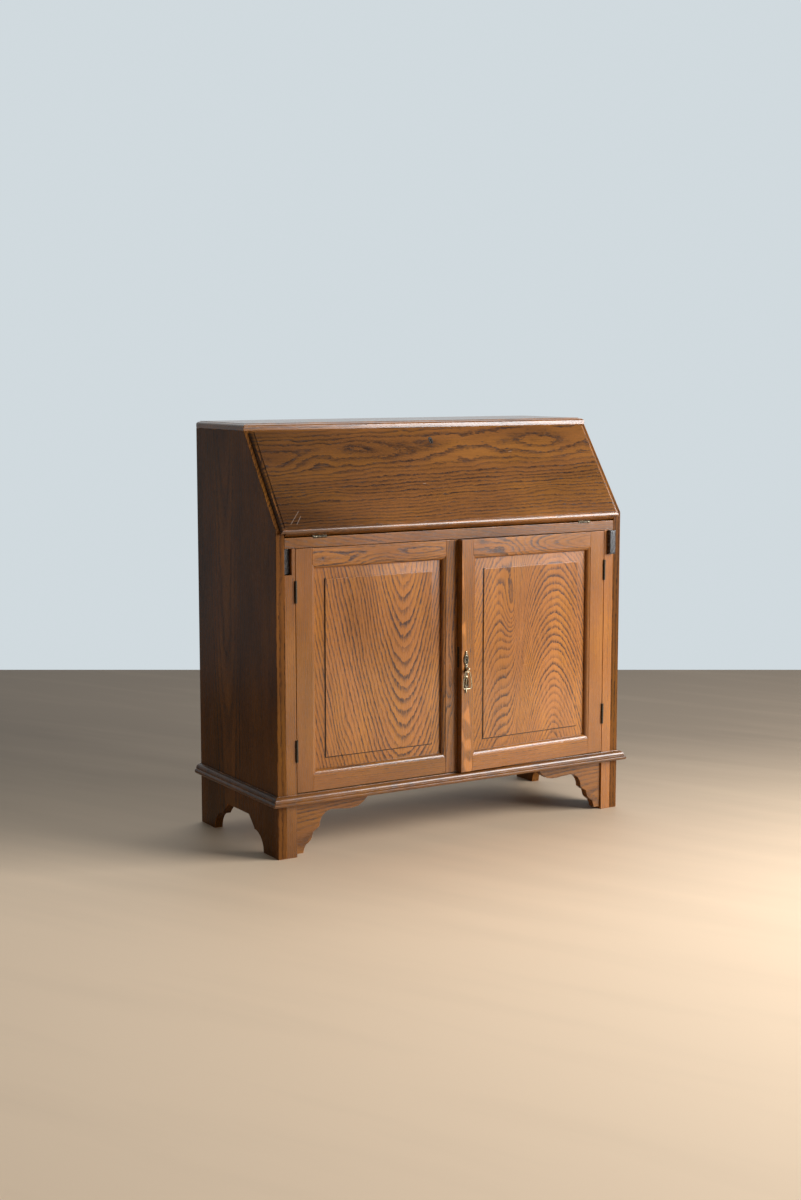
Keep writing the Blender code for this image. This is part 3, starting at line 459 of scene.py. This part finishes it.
def metal(name, seed, bright, dull, share=0.5, roughness=0.34):
    """Old metal, whose dull skin is rubbed through to bright in places.

    share is how much of it is dull.
    """
    graph = Graph(bpy.data.materials.new(name))
    axes = graph.place()
    draw = random.Random(seed)
    start = draw.uniform(-9.0, 9.0)
    x, y, z = (axes[letter] for letter in "XYZ")
    skin = graph.noise(x * 260.0 + start, y * 260.0, z * 200.0, 3.0, 0.6)
    spots = graph.noise(x * 900.0, y * 900.0 + start, z * 900.0, 2.0)
    dullness = skin.step(0.66 - share * 0.5, 0.82 - share * 0.5)
    dullness = (dullness - graph.mark("arris") * 0.8 + spots.step(0.60, 0.72) * 0.3).clamp()
    colour = graph.mix(dullness, rgba(bright), rgba(dull))
    rough = dullness * 0.22 + spots * 0.10 + roughness
    relief = graph.bump(spots * 0.6 + skin * 0.4, 0.0001, 0.25)
    shine = 1.0 - dullness * 0.35
    return graph.finish({}, base_color=colour, roughness=rough, metallic=shine, normal=relief)


def metals():
    """The metal finishes, made when they are first asked for."""
    look = settings().metal
    if "handle_brass" not in bpy.data.materials:
        metal("handle_brass", 1, look.brass, look.tarnish, 0.38, 0.28)
        metal("plate_brass", 5, look.brass, (0.040, 0.034, 0.024), 0.78, 0.28)
        metal("hinge_bronze", 2, (0.30, 0.22, 0.12), look.tarnish, 0.92, 0.36)
        metal("lock_iron", 3, look.iron, (0.045, 0.035, 0.030), 0.60, 0.42)
        metal("pale_brass", 4, (0.52, 0.44, 0.30), look.tarnish, 0.70, 0.34)
    return bpy.data.materials


# Modelling steps


def only(*pieces):
    """Selects these objects alone. The first is the active one."""
    bpy.ops.object.select_all(action="DESELECT")
    for piece in pieces:
        piece.select_set(True)
    bpy.context.view_layer.objects.active = pieces[0]


def give(piece, finish):
    piece.data.materials.clear()
    piece.data.materials.append(finish)


def primitive(kind, stretch=(1.0, 1.0, 1.0), **values):
    """Adds a primitive and scales it. Its place is set when it is added."""
    bpy.ops.object.select_all(action="DESELECT")
    getattr(bpy.ops.mesh, f"primitive_{kind}_add")(**values)
    piece = bpy.context.object
    piece.scale = stretch
    return piece


def settle(piece, place=None):
    """Moves a piece's place into its mesh."""
    if place:
        bpy.context.view_layer.update()
        piece.matrix_world = place @ piece.matrix_world
    only(piece)
    bpy.ops.object.transform_apply(location=True, rotation=True, scale=True)


def join(name, pieces):
    only(*pieces)
    bpy.ops.object.join()
    pieces[0].name = name
    return pieces[0]


def apply(piece, kind, **values):
    """Adds a modifier and applies it."""
    only(piece)
    modifier = piece.modifiers.new(kind.lower(), kind)
    for key, value in values.items():
        setattr(modifier, key, value)
    bpy.ops.object.modifier_apply(modifier=modifier.name)


def copy_node(node, name):
    """A copy of a CAD solid whose corners are merged and whose flat faces are whole again."""
    piece = bpy.data.objects.new(name, NODES[node].data.copy())
    bpy.context.scene.collection.objects.link(piece)
    only(piece)
    bpy.ops.object.mode_set(mode="EDIT")
    bpy.ops.mesh.select_all(action="SELECT")
    bpy.ops.mesh.remove_doubles(threshold=0.00001)
    bpy.ops.mesh.dissolve_limited(angle_limit=math.radians(0.4))
    bpy.ops.object.mode_set(mode="OBJECT")
    return piece


def mark_arrises(piece, width):
    """Stores 1 on the narrow faces that a bevel of this width left along the edges."""
    mesh = piece.data
    mark = mesh.attributes.new("arris", "FLOAT", "FACE")
    for face in mesh.polygons:
        corners = [mesh.vertices[i].co for i in face.vertices]
        sides = [(corners[i] - corners[i - 1]).length for i in range(len(corners))]
        mark.data[face.index].value = 1.0 if min(sides) < width * 0.9 else 0.0


def soften(piece, width, segments=2, angle=30.0):
    """Rounds a piece's arrises, and keeps its flat faces flat in the shading."""
    limits = {"limit_method": "ANGLE", "angle_limit": math.radians(angle)}
    apply(piece, "BEVEL", width=width, segments=segments, use_clamp_overlap=True, **limits)
    mark_arrises(piece, width)
    only(piece)
    bpy.ops.object.shade_smooth_by_angle(angle=math.radians(angle + 8.0))
    apply(piece, "WEIGHTED_NORMAL", keep_sharp=True, weight=80)


def stand_in(piece, node, finish=None):
    """Stands a finished piece in for a CAD node, on the node's own body."""
    if finish:
        give(piece, finish)
    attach(piece, BODY_OF[node])
    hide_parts(node)
    return piece


def dress(node, finish, width=None, suffix="_wood", segments=2):
    """Stands a softened copy in for a CAD node."""
    piece = copy_node(node, node + suffix)
    soften(piece, settings().wood.arris if width is None else width, segments)
    return stand_in(piece, node, finish)


def round_off(node):
    """Stands a smooth brass copy in for a faceted CAD node."""
    piece = copy_node(node, node + "_brass")
    apply(piece, "SUBSURF", levels=2, render_levels=2)
    only(piece)
    bpy.ops.object.shade_smooth()
    return stand_in(piece, node, metals()["handle_brass"])


def screw_head(place, direction, radius, slot_turn):
    """A countersunk screw's slotted head, flush at place and looking along direction."""
    head = primitive("cylinder", vertices=20, radius=radius, depth=radius * 0.5)
    bpy.ops.object.mode_set(mode="EDIT")
    slot = radius * 0.16
    for offset in (-slot, slot):
        bpy.ops.mesh.select_all(action="SELECT")
        bpy.ops.mesh.bisect(plane_co=(0.0, offset, 0.0), plane_no=(0.0, 1.0, 0.0))
    bpy.ops.mesh.select_all(action="DESELECT")
    bpy.ops.object.mode_set(mode="OBJECT")
    for face in head.data.polygons:
        face.select = face.normal.z > 0.9 and abs(face.center.y) < slot
    bpy.ops.object.mode_set(mode="EDIT")
    bpy.ops.mesh.extrude_region_move(TRANSFORM_OT_translate={"value": (0.0, 0.0, -radius * 0.3)})
    bpy.ops.object.mode_set(mode="OBJECT")
    apply(head, "BEVEL", width=radius * 0.07, segments=1, limit_method="ANGLE")
    turn = Vector(direction).to_track_quat("Z", "Y").to_matrix().to_4x4()
    settle(head, Matrix.Translation(place) @ turn @ Matrix.Rotation(slot_turn, 4, "Z"))
    return head


# How far the slots of neighbouring screws are turned, in radians
SLOT_TURNS = (0.4, 1.9, 1.1, 2.6)


def screws(name, body, finish, places, direction, share=1.0):
    """A row of screws on a body. share is their size against a door hinge's screws."""
    radius = settings().metal.screw * share
    turns = itertools.cycle(SLOT_TURNS)
    heads = [screw_head(place, direction, radius, turn) for place, turn in zip(places, turns)]
    piece = join(name, heads)
    give(piece, finish)
    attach(piece, body)
    return piece


def area_light(name, place, aim, size, power, colour):
    """A rectangular light that stands at place and looks at aim."""
    bpy.ops.object.light_add(type="AREA", location=place)
    light = bpy.context.object
    light.name = name
    light.data.shape = "RECTANGLE"
    light.data.size, light.data.size_y = size
    light.data.energy = power
    light.data.color = colour
    light.rotation_euler = (Vector(place) - Vector(aim)).to_track_quat("Z", "Y").to_euler()


# Operators

# How far the corners of each kind of piece are rounded
MOULDING_ARRIS, BOARD_ARRIS, PANEL_ARRIS, LOPER_ARRIS = 0.0005, 0.0006, 0.0004, 0.0022
HINGE_ARRIS, LEAF_ARRIS, LOCK_ARRIS, BOLT_ARRIS = 0.00015, 0.0002, 0.0004, 0.0005
ESCUTCHEON_ARRIS, BACK_CHAMFER, PLATE_ARRIS = 0.00005, 0.0016, 0.00035


class DESK_OT_case(bpy.types.Operator):
    """Case boards, rails, mouldings and brackets"""

    bl_idname = "desk.case"
    bl_label = "Case"

    def execute(self, context):
        side = {
            "rings": 170, "lean": (0.01, 0.02), "tone": 0.36, "varnish": (0.0, 0.08),
            "contrast": 1.1, "drift": 0.010,
        }
        top = {
            "pith": (-0.06, 0.04), "lean": (0.03, 0.05), "rings": 140, "wave": 0.006, "tone": 0.6,
            "varnish": (0.4, 0.5),
        }
        rail = {"pith": (0.05, 0.10), "rings": 240, "tone": 0.47}
        stile = {"rings": 210, "lean": (0.0, 0.02), "drift": 0.010, "contrast": 0.75}
        foot = {"pith": (-0.03, 0.08), "rings": 150, "lean": (0.0, 0.06), "tone": 0.56}
        mould = {"rings": 200, "tone": 0.44, "varnish": (0.35, 0.45), "contrast": 0.8}
        boards = {
            "side_left": ("Z side", {"pith": (0.05, 0.14), **side}),
            "side_right": ("Z side", {"pith": (-0.06, 0.12), **side}),
            "top_board": ("X flat", top),
            "strike_rail": ("X", {"tone": 0.7, "centre": (0.0, 0.0, 0.0)}),
            "front_rail": ("X", rail),
            "front_stile_left": ("Z", {"pith": (0.09, 0.05), "tone": 0.55, **stile}),
            "front_stile_right": ("Z", {"pith": (-0.11, 0.05), "tone": 0.86, **stile}),
            "front_bracket_left": ("X", foot),
            "front_bracket_right": ("X", foot),
            "base_moulding_front": ("X", mould),
            # The left moulding, on the side away from the window, is darkened below the others' tone as painted
            # shade.
            "base_moulding_left": ("Y", {**mould, "tone": 0.3, "varnish": (0.1, 0.2)}),
            "base_moulding_right": ("Y", mould),
        }
        for seed, (node, (run, cut)) in enumerate(boards.items()):
            cut = {"centre": middle(node), **cut}
            width = MOULDING_ARRIS if "moulding" in node else None
            dress(node, oak(node + "_oak", run, seed, **cut), width)
        return {"FINISHED"}


class DESK_OT_interior(bpy.types.Operator):
    """Boards behind the doors and the fall, the small drawers and the lopers"""

    bl_idname = "desk.interior"
    bl_label = "Interior"

    def execute(self, context):
        plain = {"wood": "inner", "varnish": (0.0, 0.4), "contrast": 0.8}
        boards = {
            "writing_bed": "X flat", "bottom_board": "X flat", "cupboard_shelf": "X flat",
            "pigeonhole_shelf": "X flat", "loper_guide_left": "Y", "loper_guide_right": "Y",
            "lower_divider_left": "Y", "lower_divider_right": "Y", "upper_divider_left": "Z side",
            "upper_divider_right": "Z side", "drawer_left": "X", "drawer_right": "X",
        }
        for seed, (node, run) in enumerate(boards.items()):
            tone = 0.80 if "drawer" in node else 1.0
            cut = {"centre": middle(node), "tone": tone, "rings": 140, **plain}
            dress(node, oak(node + "_oak", run, 20 + seed, **cut))
        for seed, node in enumerate(("loper_left", "loper_right")):
            cut = {"centre": middle(node), "wood": "ebony", "varnish": (0.3, 0.6), "contrast": 0.5}
            dress(node, oak(node + "_oak", "Y", 35 + seed, **cut), LOPER_ARRIS, segments=3)
        self.back_boards()
        for side in ("left", "right"):
            round_off(f"drawer_{side}_knob")
        return {"FINISHED"}

    def back_boards(self):
        """Upright boards with chamfered edges, nailed along the top, the middle and the foot."""
        count, gap = 6, 0.0006
        start, end, centre = low("back_panel"), high("back_panel"), middle("back_panel")
        pitch = (end.x - start.x) / count
        size = (pitch - gap, end.y - start.y, end.z - start.z)
        boards = []
        for i in range(count):
            place = (start.x + pitch * (i + 0.5), centre.y, centre.z)
            board = primitive("cube", size, size=1.0, location=place)
            settle(board)
            apply(board, "BEVEL", width=BACK_CHAMFER, segments=2, limit_method="ANGLE")
            boards.append(board)
        piece = join("back_boards", boards)
        mark_arrises(piece, BACK_CHAMFER)
        cut = {
            "centre": Vector((start.x, 0.0, 0.5)), "wood": "inner", "varnish": (0.0, 0.3),
            "tone": 0.78, "rings": 120, "plank": pitch,
        }
        stand_in(piece, "back_panel", oak("back_oak", "Z", 51, **cut))
        middles = [start.x + pitch * (i + 0.5) for i in range(count)]
        self.back_nails([x + pitch * side for x in middles for side in (-0.3, 0.3)])

    def back_nails(self, columns):
        """Flat round heads in three rows, none quite in line."""
        inset, sunk = 0.02, 0.0004
        start, end = low("back_panel"), high("back_panel")
        nails = []
        for x in columns:
            for z in (start.z + inset, (start.z + end.z) / 2, end.z - inset):
                place = (x, end.y - sunk, z + 0.004 * math.sin(7.0 * x))
                nail = primitive(
                    "uv_sphere", (1.0, 0.12, 1.0), segments=10, ring_count=6, radius=0.0026,
                    location=place,
                )
                settle(nail)
                nails.append(nail)
        piece = join("back_nails", nails)
        give(piece, metals()["lock_iron"])
        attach(piece, "case")


class DESK_OT_fall(bpy.types.Operator):
    """Fall board with its hinges, lock and escutcheon"""

    bl_idname = "desk.fall"
    bl_label = "Fall"

    # Knots: place along and across the grain, half length, half width and push
    SWIRLS = (
        (-0.33, 0.050, 0.05, 0.024, 0.009),
        (-0.20, 0.085, 0.06, 0.024, -0.007),
        (0.10, 0.070, 0.10, 0.026, 0.008),
        (0.30, 0.090, 0.07, 0.026, -0.007),
        (-0.34, -0.040, 0.06, 0.014, 0.009),
        (0.28, -0.050, 0.05, 0.012, 0.009),
    )

    # Scratches: place along and across the grain, turn in degrees and length
    SCRATCHES = (
        (-0.428, -0.096, 48.0, 0.050),
        (-0.420, -0.103, 52.0, 0.030),
        (0.215, 0.062, 12.0, 0.012),
        (-0.060, -0.020, 5.0, 0.010),
    )

    def execute(self, context):
        # The fall's left end, away from the window, is darkened to 0.62 of its tone as painted shade.
        finish = oak(
            "fall_oak", "X flat", 43, pith=(0.085, 0.050), lean=(0.050, -0.080), taper=-0.06,
            rings=125, drift=0.020, wave=0.012, jag=0.0050, tone=0.49, turn=-SLOPE,
            centre=FALL_AXIS + SLOPE_RUN * 0.135, contrast=1.2, varnish=(0.35, 0.40),
            swirls=self.SWIRLS, scratches=self.SCRATCHES, painted_end_shade=(-0.50, 0.00, 0.62),
        )
        dress("fall_board", finish, BOARD_ARRIS)
        finishes = metals()
        for side in ("left", "right"):
            for hinge in ("fall_hinge_", "rail_hinge_"):
                dress(hinge + side, finishes["pale_brass"], HINGE_ARRIS, "_brass")
            self.hinge_screws(side)
        dress("fall_lock", finishes["pale_brass"], LOCK_ARRIS, "_brass")
        dress("fall_lock_bolt", finishes["lock_iron"], LOCK_ARRIS, "_iron")
        dress("fall_escutcheon", finishes["lock_iron"], ESCUTCHEON_ARRIS, "_iron")
        start, end = own_box("fall_lock", FALL_PLACE)
        inset = 0.0055
        places = [
            FALL_PLACE @ Vector((x, y, start.z - 0.0001))
            for x in (start.x + inset, end.x - inset) for y in (start.y + inset, end.y - 2 * inset)
        ]
        iron = finishes["lock_iron"]
        screws("fall_lock_screws", "fall", iron, places, FALL_INSIDE, 0.96)
        return {"FINISHED"}

    def hinge_screws(self, side):
        iron = metals()["lock_iron"]
        start, end = own_box("fall_hinge_" + side, FALL_PLACE)
        reach = end.y * 0.62
        stagger = ((0.18, 0.0), (0.5, 0.003), (0.82, 0.0))
        places = [
            (start.x + (end.x - start.x) * share, reach + lift) for share, lift in stagger
        ]
        sunk = 0.0003
        on_fall = [FALL_PLACE @ Vector((x, y, sunk)) for x, y in places]
        screws(f"fall_hinge_{side}_screws", "fall", iron, on_fall, FALL_INSIDE, 0.92)
        top = high("writing_bed").z - sunk
        on_rail = [Vector((x, FALL_AXIS.y + y, top)) for x, y in places]
        screws(f"rail_hinge_{side}_screws", "case", iron, on_rail, (0, 0, 1), 0.92)


class DESK_OT_doors(bpy.types.Operator):
    """Stiles, rails, panels, hinges and locks of both doors"""

    bl_idname = "desk.doors"
    bl_label = "Doors"

    # How each member is cut: pith, lean, taper, rings, drift, wave, tone and contrast
    CUTS = {
        "left_hanging_stile": ((0.10, 0.06), (0.00, 0.02), 0.0, 220, 0.008, 0.001, 0.60, 0.7),
        "left_meeting_stile": ((0.030, 0.04), (0.02, 0.07), 0.1, 150, 0.014, 0.004, 0.60, 1.2),
        "right_hanging_stile": ((0.10, 0.06), (0.00, 0.02), 0.0, 220, 0.008, 0.001, 0.70, 0.7),
        "right_meeting_stile": ((-0.06, 0.05), (0.02, 0.05), 0.0, 200, 0.010, 0.003, 0.66, 0.9),
        "left_top_rail": ((0.000, 0.025), (0.03, 0.10), 0.1, 160, 0.022, 0.008, 0.72, 1.35),
        "left_bottom_rail": ((0.07, 0.05), (0.00, 0.03), 0.0, 230, 0.010, 0.001, 0.64, 0.8),
        "right_top_rail": ((0.006, 0.025), (-0.03, 0.10), -0.1, 160, 0.022, 0.008, 0.68, 1.2),
        "right_bottom_rail": ((0.06, 0.05), (0.00, 0.03), 0.0, 230, 0.010, 0.001, 0.69, 0.8),
        "left_door_panel": ((0.066, 0.050), (0.00, 0.10), -0.20, 115, 0.012, 0.006, 0.84, 1.35),
        "right_door_panel": ((0.073, 0.050), (0.00, -0.14), 0.34, 115, 0.010, 0.007, 0.87, 1.25),
    }

    # Knots that bend the grain of some members
    SWIRLS = {
        "left_door_panel": ((-0.13, -0.100, 0.06, 0.020, -0.010), (0.16, -0.05, 0.10, 0.04, 0.008)),
        "right_door_panel": (
            (-0.10, -0.055, 0.50, 0.040, 0.046), (0.11, -0.055, 0.075, 0.026, 0.042),
        ),
        "left_top_rail": ((0.0, -0.012, 0.08, 0.02, 0.020), (0.0, 0.12, 0.05, 0.02, -0.015)),
        "right_top_rail": ((-0.08, 0.0, 0.07, 0.02, 0.020),),
        "left_meeting_stile": ((-0.06, 0.004, 0.06, 0.012, 0.020),),
    }

    def execute(self, context):
        for seed, (node, cut) in enumerate(self.CUTS.items()):
            pith, lean, taper, rings, drift, wave, tone, contrast = cut
            run = "X" if "rail" in node else "Z"
            field = field_size(node) if "panel" in node else None
            finish = oak(
                node + "_oak", run, 60 + seed, pith=pith, lean=lean, taper=taper, rings=rings,
                drift=drift, wave=wave, tone=tone, contrast=contrast, centre=middle(node),
                swirls=self.SWIRLS.get(node, ()), field=field,
            )
            dress(node, finish, PANEL_ARRIS if "panel" in node else BOARD_ARRIS)
        finishes = metals()
        for side in ("left", "right"):
            for place in ("lower", "upper"):
                for leaf in ("case_leaf", "door_leaf"):
                    node = f"{side}_{leaf}_{place}"
                    dress(node, finishes["hinge_bronze"], LEAF_ARRIS, "_bronze")
                self.hinge_screws(side, place)
        dress("left_door_bolt", finishes["pale_brass"], BOLT_ARRIS, "_brass")
        dress("door_lock", finishes["hinge_bronze"], LOCK_ARRIS, "_bronze")
        dress("door_lock_bolt", finishes["hinge_bronze"], LOCK_ARRIS, "_bronze")
        return {"FINISHED"}

    def hinge_screws(self, side, height):
        way = 1 if side == "left" else -1
        bronze = metals()["hinge_bronze"]
        place = LEFT_PLACE if side == "left" else RIGHT_PLACE
        start, end = own_box(f"{side}_door_leaf_{height}", place)
        middle_z, half = (start.z + end.z) / 2, (end.z - start.z) / 2
        depth = end.y * 0.62
        stagger = ((-0.72, 0.0), (0.0, 0.0025), (0.72, 0.0))
        spots = [(middle_z + half * share, depth + lift) for share, lift in stagger]
        near = way * 0.0010
        on_door = [place @ Vector((near, y, z)) for z, y in spots]
        look = place.to_3x3() @ Vector((-way, 0, 0))
        screws(f"{side}_door_screws_{height}", f"{side}_door", bronze, on_door, look)
        axis = LEFT_AXIS if side == "left" else RIGHT_AXIS
        on_case = [Vector((axis.x - near, axis.y + y, z)) for z, y in spots]
        screws(f"{side}_case_screws_{height}", "case", bronze, on_case, (way, 0, 0))


class DESK_OT_handle(bpy.types.Operator):
    """Back plate with its rings, beads and ball, and the hanging bail"""

    bl_idname = "desk.handle"
    bl_label = "Handle"

    PLATE_THICKNESS = 0.0018
    LUG_START = 0.004  # in front of the plate's face, all is rubbed bright

    # Rings: height over the plate's foot, half width, half height and thickness
    UPPER_RING = (0.0795, 0.0050, 0.0106, 0.0013)
    LOWER_RING = (0.0265, 0.0052, 0.0126, 0.0011)

    # The openings in the lower ring: how far out, then half width and half height
    OPENING_OUT, OPENING = 0.0033, (0.0017, 0.0080)

    # Beads: height under the tip or over the foot, then half width, depth and half height
    TIP_BEADS = (
        (0.0030, (0.0020, 0.0012, 0.0030)),
        (0.0062, (0.0030, 0.0013, 0.0011)),
    )
    FOOT_BEADS = (
        (0.0640, (0.0036, 0.0018, 0.0016)),
        (0.0490, (0.0030, 0.0015, 0.0014)),
        (0.0390, (0.0044, 0.0026, 0.0044)),
        (0.0285, (0.0013, 0.0014, 0.0080)),
        (0.0105, (0.0034, 0.0013, 0.0014)),
        (0.0040, (0.0019, 0.0012, 0.0034)),
    )
    BALL_FORWARD, BALL = 0.0042, (0.0026, 0.0020, 0.0026)

    def execute(self, context):
        start, end = own_box("handle_plate", RIGHT_PLACE)
        across, foot, tip = (start.x + end.x) / 2, start.z, end.z
        face = end.y - self.PLATE_THICKNESS
        plate = copy_node("handle_plate", "handle_plate_brass")
        for side in (-1, 1):
            out = side * self.OPENING_OUT
            self.pierce(plate, (across + out, face, foot + self.LOWER_RING[0]))
        soften(plate, PLATE_ARRIS)
        self.rub(plate, face - self.LUG_START)
        give(plate, metals()["plate_brass"])

        parts = [plate]
        for height, *sizes in (self.UPPER_RING, self.LOWER_RING):
            parts.append(self.ring((across, face, foot + height), *sizes))
        for drop, size in self.TIP_BEADS:
            parts.append(self.bead((across, face, tip - drop), size))
        for height, size in self.FOOT_BEADS:
            parts.append(self.bead((across, face, foot + height), size))
        pivot = RIGHT_PLACE.inverted() @ BAIL_AXIS
        parts.append(self.bead((across, face - self.BALL_FORWARD, pivot.z), self.BALL))
        stand_in(join("handle_plate_brass", parts), "handle_plate")
        round_off("handle_bail")
        return {"FINISHED"}

    def pierce(self, plate, place):
        """Cuts an oval opening through the plate."""
        cutter = primitive(
            "cylinder", (*self.OPENING, 1.0), vertices=20, radius=1.0, depth=0.02,
            location=place, rotation=(math.pi / 2, 0, 0),
        )
        settle(cutter, RIGHT_PLACE)
        apply(plate, "BOOLEAN", operation="DIFFERENCE", solver="EXACT", object=cutter)
        bpy.data.objects.remove(cutter, do_unlink=True)

    def rub(self, plate, front):
        """Marks the faces that stand further forward than this as rubbed."""
        rubbed = plate.data.attributes["arris"].data
        inward = RIGHT_PLACE.inverted()
        for flat in plate.data.polygons:
            if (inward @ flat.center).y < front:
                rubbed[flat.index].value = 1.0

    def ring(self, place, half_wide, half_tall, thick):
        piece = primitive(
            "torus", (half_wide / half_tall, 1.0, 1.0), major_radius=half_tall,
            minor_radius=thick, major_segments=36, minor_segments=10, location=place,
            rotation=(math.pi / 2, 0, 0),
        )
        return self.raised(piece)

    def bead(self, place, size):
        return self.raised(
            primitive("uv_sphere", size, segments=20, ring_count=12, radius=1.0, location=place)
        )

    def raised(self, piece):
        """Gives raised work its finish and its place on the right door."""
        settle(piece, RIGHT_PLACE)
        give(piece, metals()["handle_brass"])
        bpy.ops.object.shade_smooth()
        return piece


class DESK_OT_stage(bpy.types.Operator):
    """Floor, wall light, window light and camera"""

    bl_idname = "desk.stage"
    bl_label = "Stage"

    # Where the camera stands and looks, in metres and degrees, with its lens in millimetres
    CAMERA_PLACE = (-2.2655, FRONT - 3.475, 1.1004)
    VIEW_TURN, VIEW_DIP = -31.235, 7.42
    LENS, SENSOR = 53.247, 36.0

    def execute(self, context):
        stage = settings().stage
        view_turn = math.radians(self.VIEW_TURN)
        self.floor(stage, view_turn)
        area_light(
            "window", place=(2.50, -2.35, 1.58), aim=(0.0, -0.2, 0.60), size=(2.6, 1.85),
            power=stage.window, colour=(0.93, 0.97, 1.0),
        )
        area_light(
            "skylight", place=(0.9, 1.2, 3.4), aim=(0.0, 0.1, 0.5), size=(2.5, 2.5),
            power=stage.window * 0.12, colour=(0.92, 0.96, 1.0),
        )
        self.surroundings(context, stage)
        tilt = math.radians(90 - self.VIEW_DIP)
        bpy.ops.object.camera_add(location=self.CAMERA_PLACE, rotation=(tilt, 0.0, view_turn))
        camera = context.object
        camera.data.lens = self.LENS
        camera.data.sensor_width = self.SENSOR
        context.scene.camera = camera
        context.scene.view_settings.view_transform = "Standard"
        return {"FINISHED"}

    def floor(self, stage, view_turn):
        """A pale floor with painted light in its colour: lighter towards the window and the front,
        and darker, as painted shade, towards the back left.
        """
        floor = primitive(
            "grid", x_subdivisions=4, y_subdivisions=4, size=stage.reach * 2,
            rotation=(0, 0, view_turn),
        )
        floor.name = "floor"
        graph = Graph(bpy.data.materials.new("floor_oil"))
        axes = graph.place((0.0, 0.0, -view_turn))
        soft = graph.noise(axes["X"] * 1.2, axes["Y"] * 9.0, 0.0, 3.0)
        # Painted light and shade: the floor's colour runs from 0.38 to 1.35 of its own along this slope.
        lit = (axes["X"] * 0.5 - axes["Y"] * 0.8).step(-1.1, 1.0)
        share = (lit + (soft - 0.5) * 0.2).clamp()
        colour = graph.mix(share, rgba(stage.floor, 0.38), rgba(stage.floor, 1.35))
        fixed = {"Roughness": 0.6, "Specular IOR Level": 0.22}
        give(floor, graph.finish(fixed, base_color=colour))

    def surroundings(self, context, stage):
        """A pale wall behind the desk, which lights it, and a dim room in front."""
        context.scene.world = bpy.data.worlds.new("studio")
        graph = Graph(context.scene.world)
        axes = graph.split(graph.add("ShaderNodeTexCoord", {}, {}, "Generated"))
        behind = {"Value": axes["Y"], "From Min": 0.05, "From Max": 0.45}
        beside = {"Value": axes["X"], "From Min": -0.7, "From Max": 0.2, "To Min": 0.12}
        lit = graph.add("ShaderNodeMapRange", {}, behind)
        lit = lit * graph.add("ShaderNodeMapRange", {}, beside)
        share = lit.larger(graph.add("ShaderNodeLightPath", {}, {}, "Is Camera Ray"))
        room = graph.add("ShaderNodeBackground", {}, {"Color": rgba(stage.wall, 0.14)})
        wall = graph.add("ShaderNodeBackground", {}, {"Color": rgba(stage.wall)})
        both = graph.add("ShaderNodeMixShader", {}, {0: share, 1: room, 2: wall})
        graph.feed(graph.tree.nodes["World Output"].inputs["Surface"], both)


OPERATORS = (
    DESK_OT_case,
    DESK_OT_interior,
    DESK_OT_fall,
    DESK_OT_doors,
    DESK_OT_handle,
    DESK_OT_stage,
)


class DESK_PT_panel(bpy.types.Panel):
    """Sidebar panel with the desk's settings and building steps"""

    bl_idname = "DESK_PT_panel"
    bl_label = "Desk"
    bl_space_type = "VIEW_3D"
    bl_region_type = "UI"
    bl_category = "Desk"

    def draw(self, context):
        look = settings()
        for group in (look.wood, look.metal, look.stage):
            for key in group.bl_rna.properties.keys():
                if key not in ("rna_type", "name"):
                    self.layout.prop(group, key)
        for operator in OPERATORS:
            self.layout.operator(operator.bl_idname)


CLASSES = (WoodSettings, MetalSettings, StageSettings, DeskSettings, *OPERATORS, DESK_PT_panel)


def register():
    for item in CLASSES:
        bpy.utils.register_class(item)
    bpy.types.Scene.desk = PointerProperty(type=DeskSettings)


def unregister():
    del bpy.types.Scene.desk
    for item in reversed(CLASSES):
        bpy.utils.unregister_class(item)


def main():
    register()
    for operator in OPERATORS:
        getattr(bpy.ops.desk, operator.bl_idname.split(".")[1])()


if __name__ == "__main__":
    main()
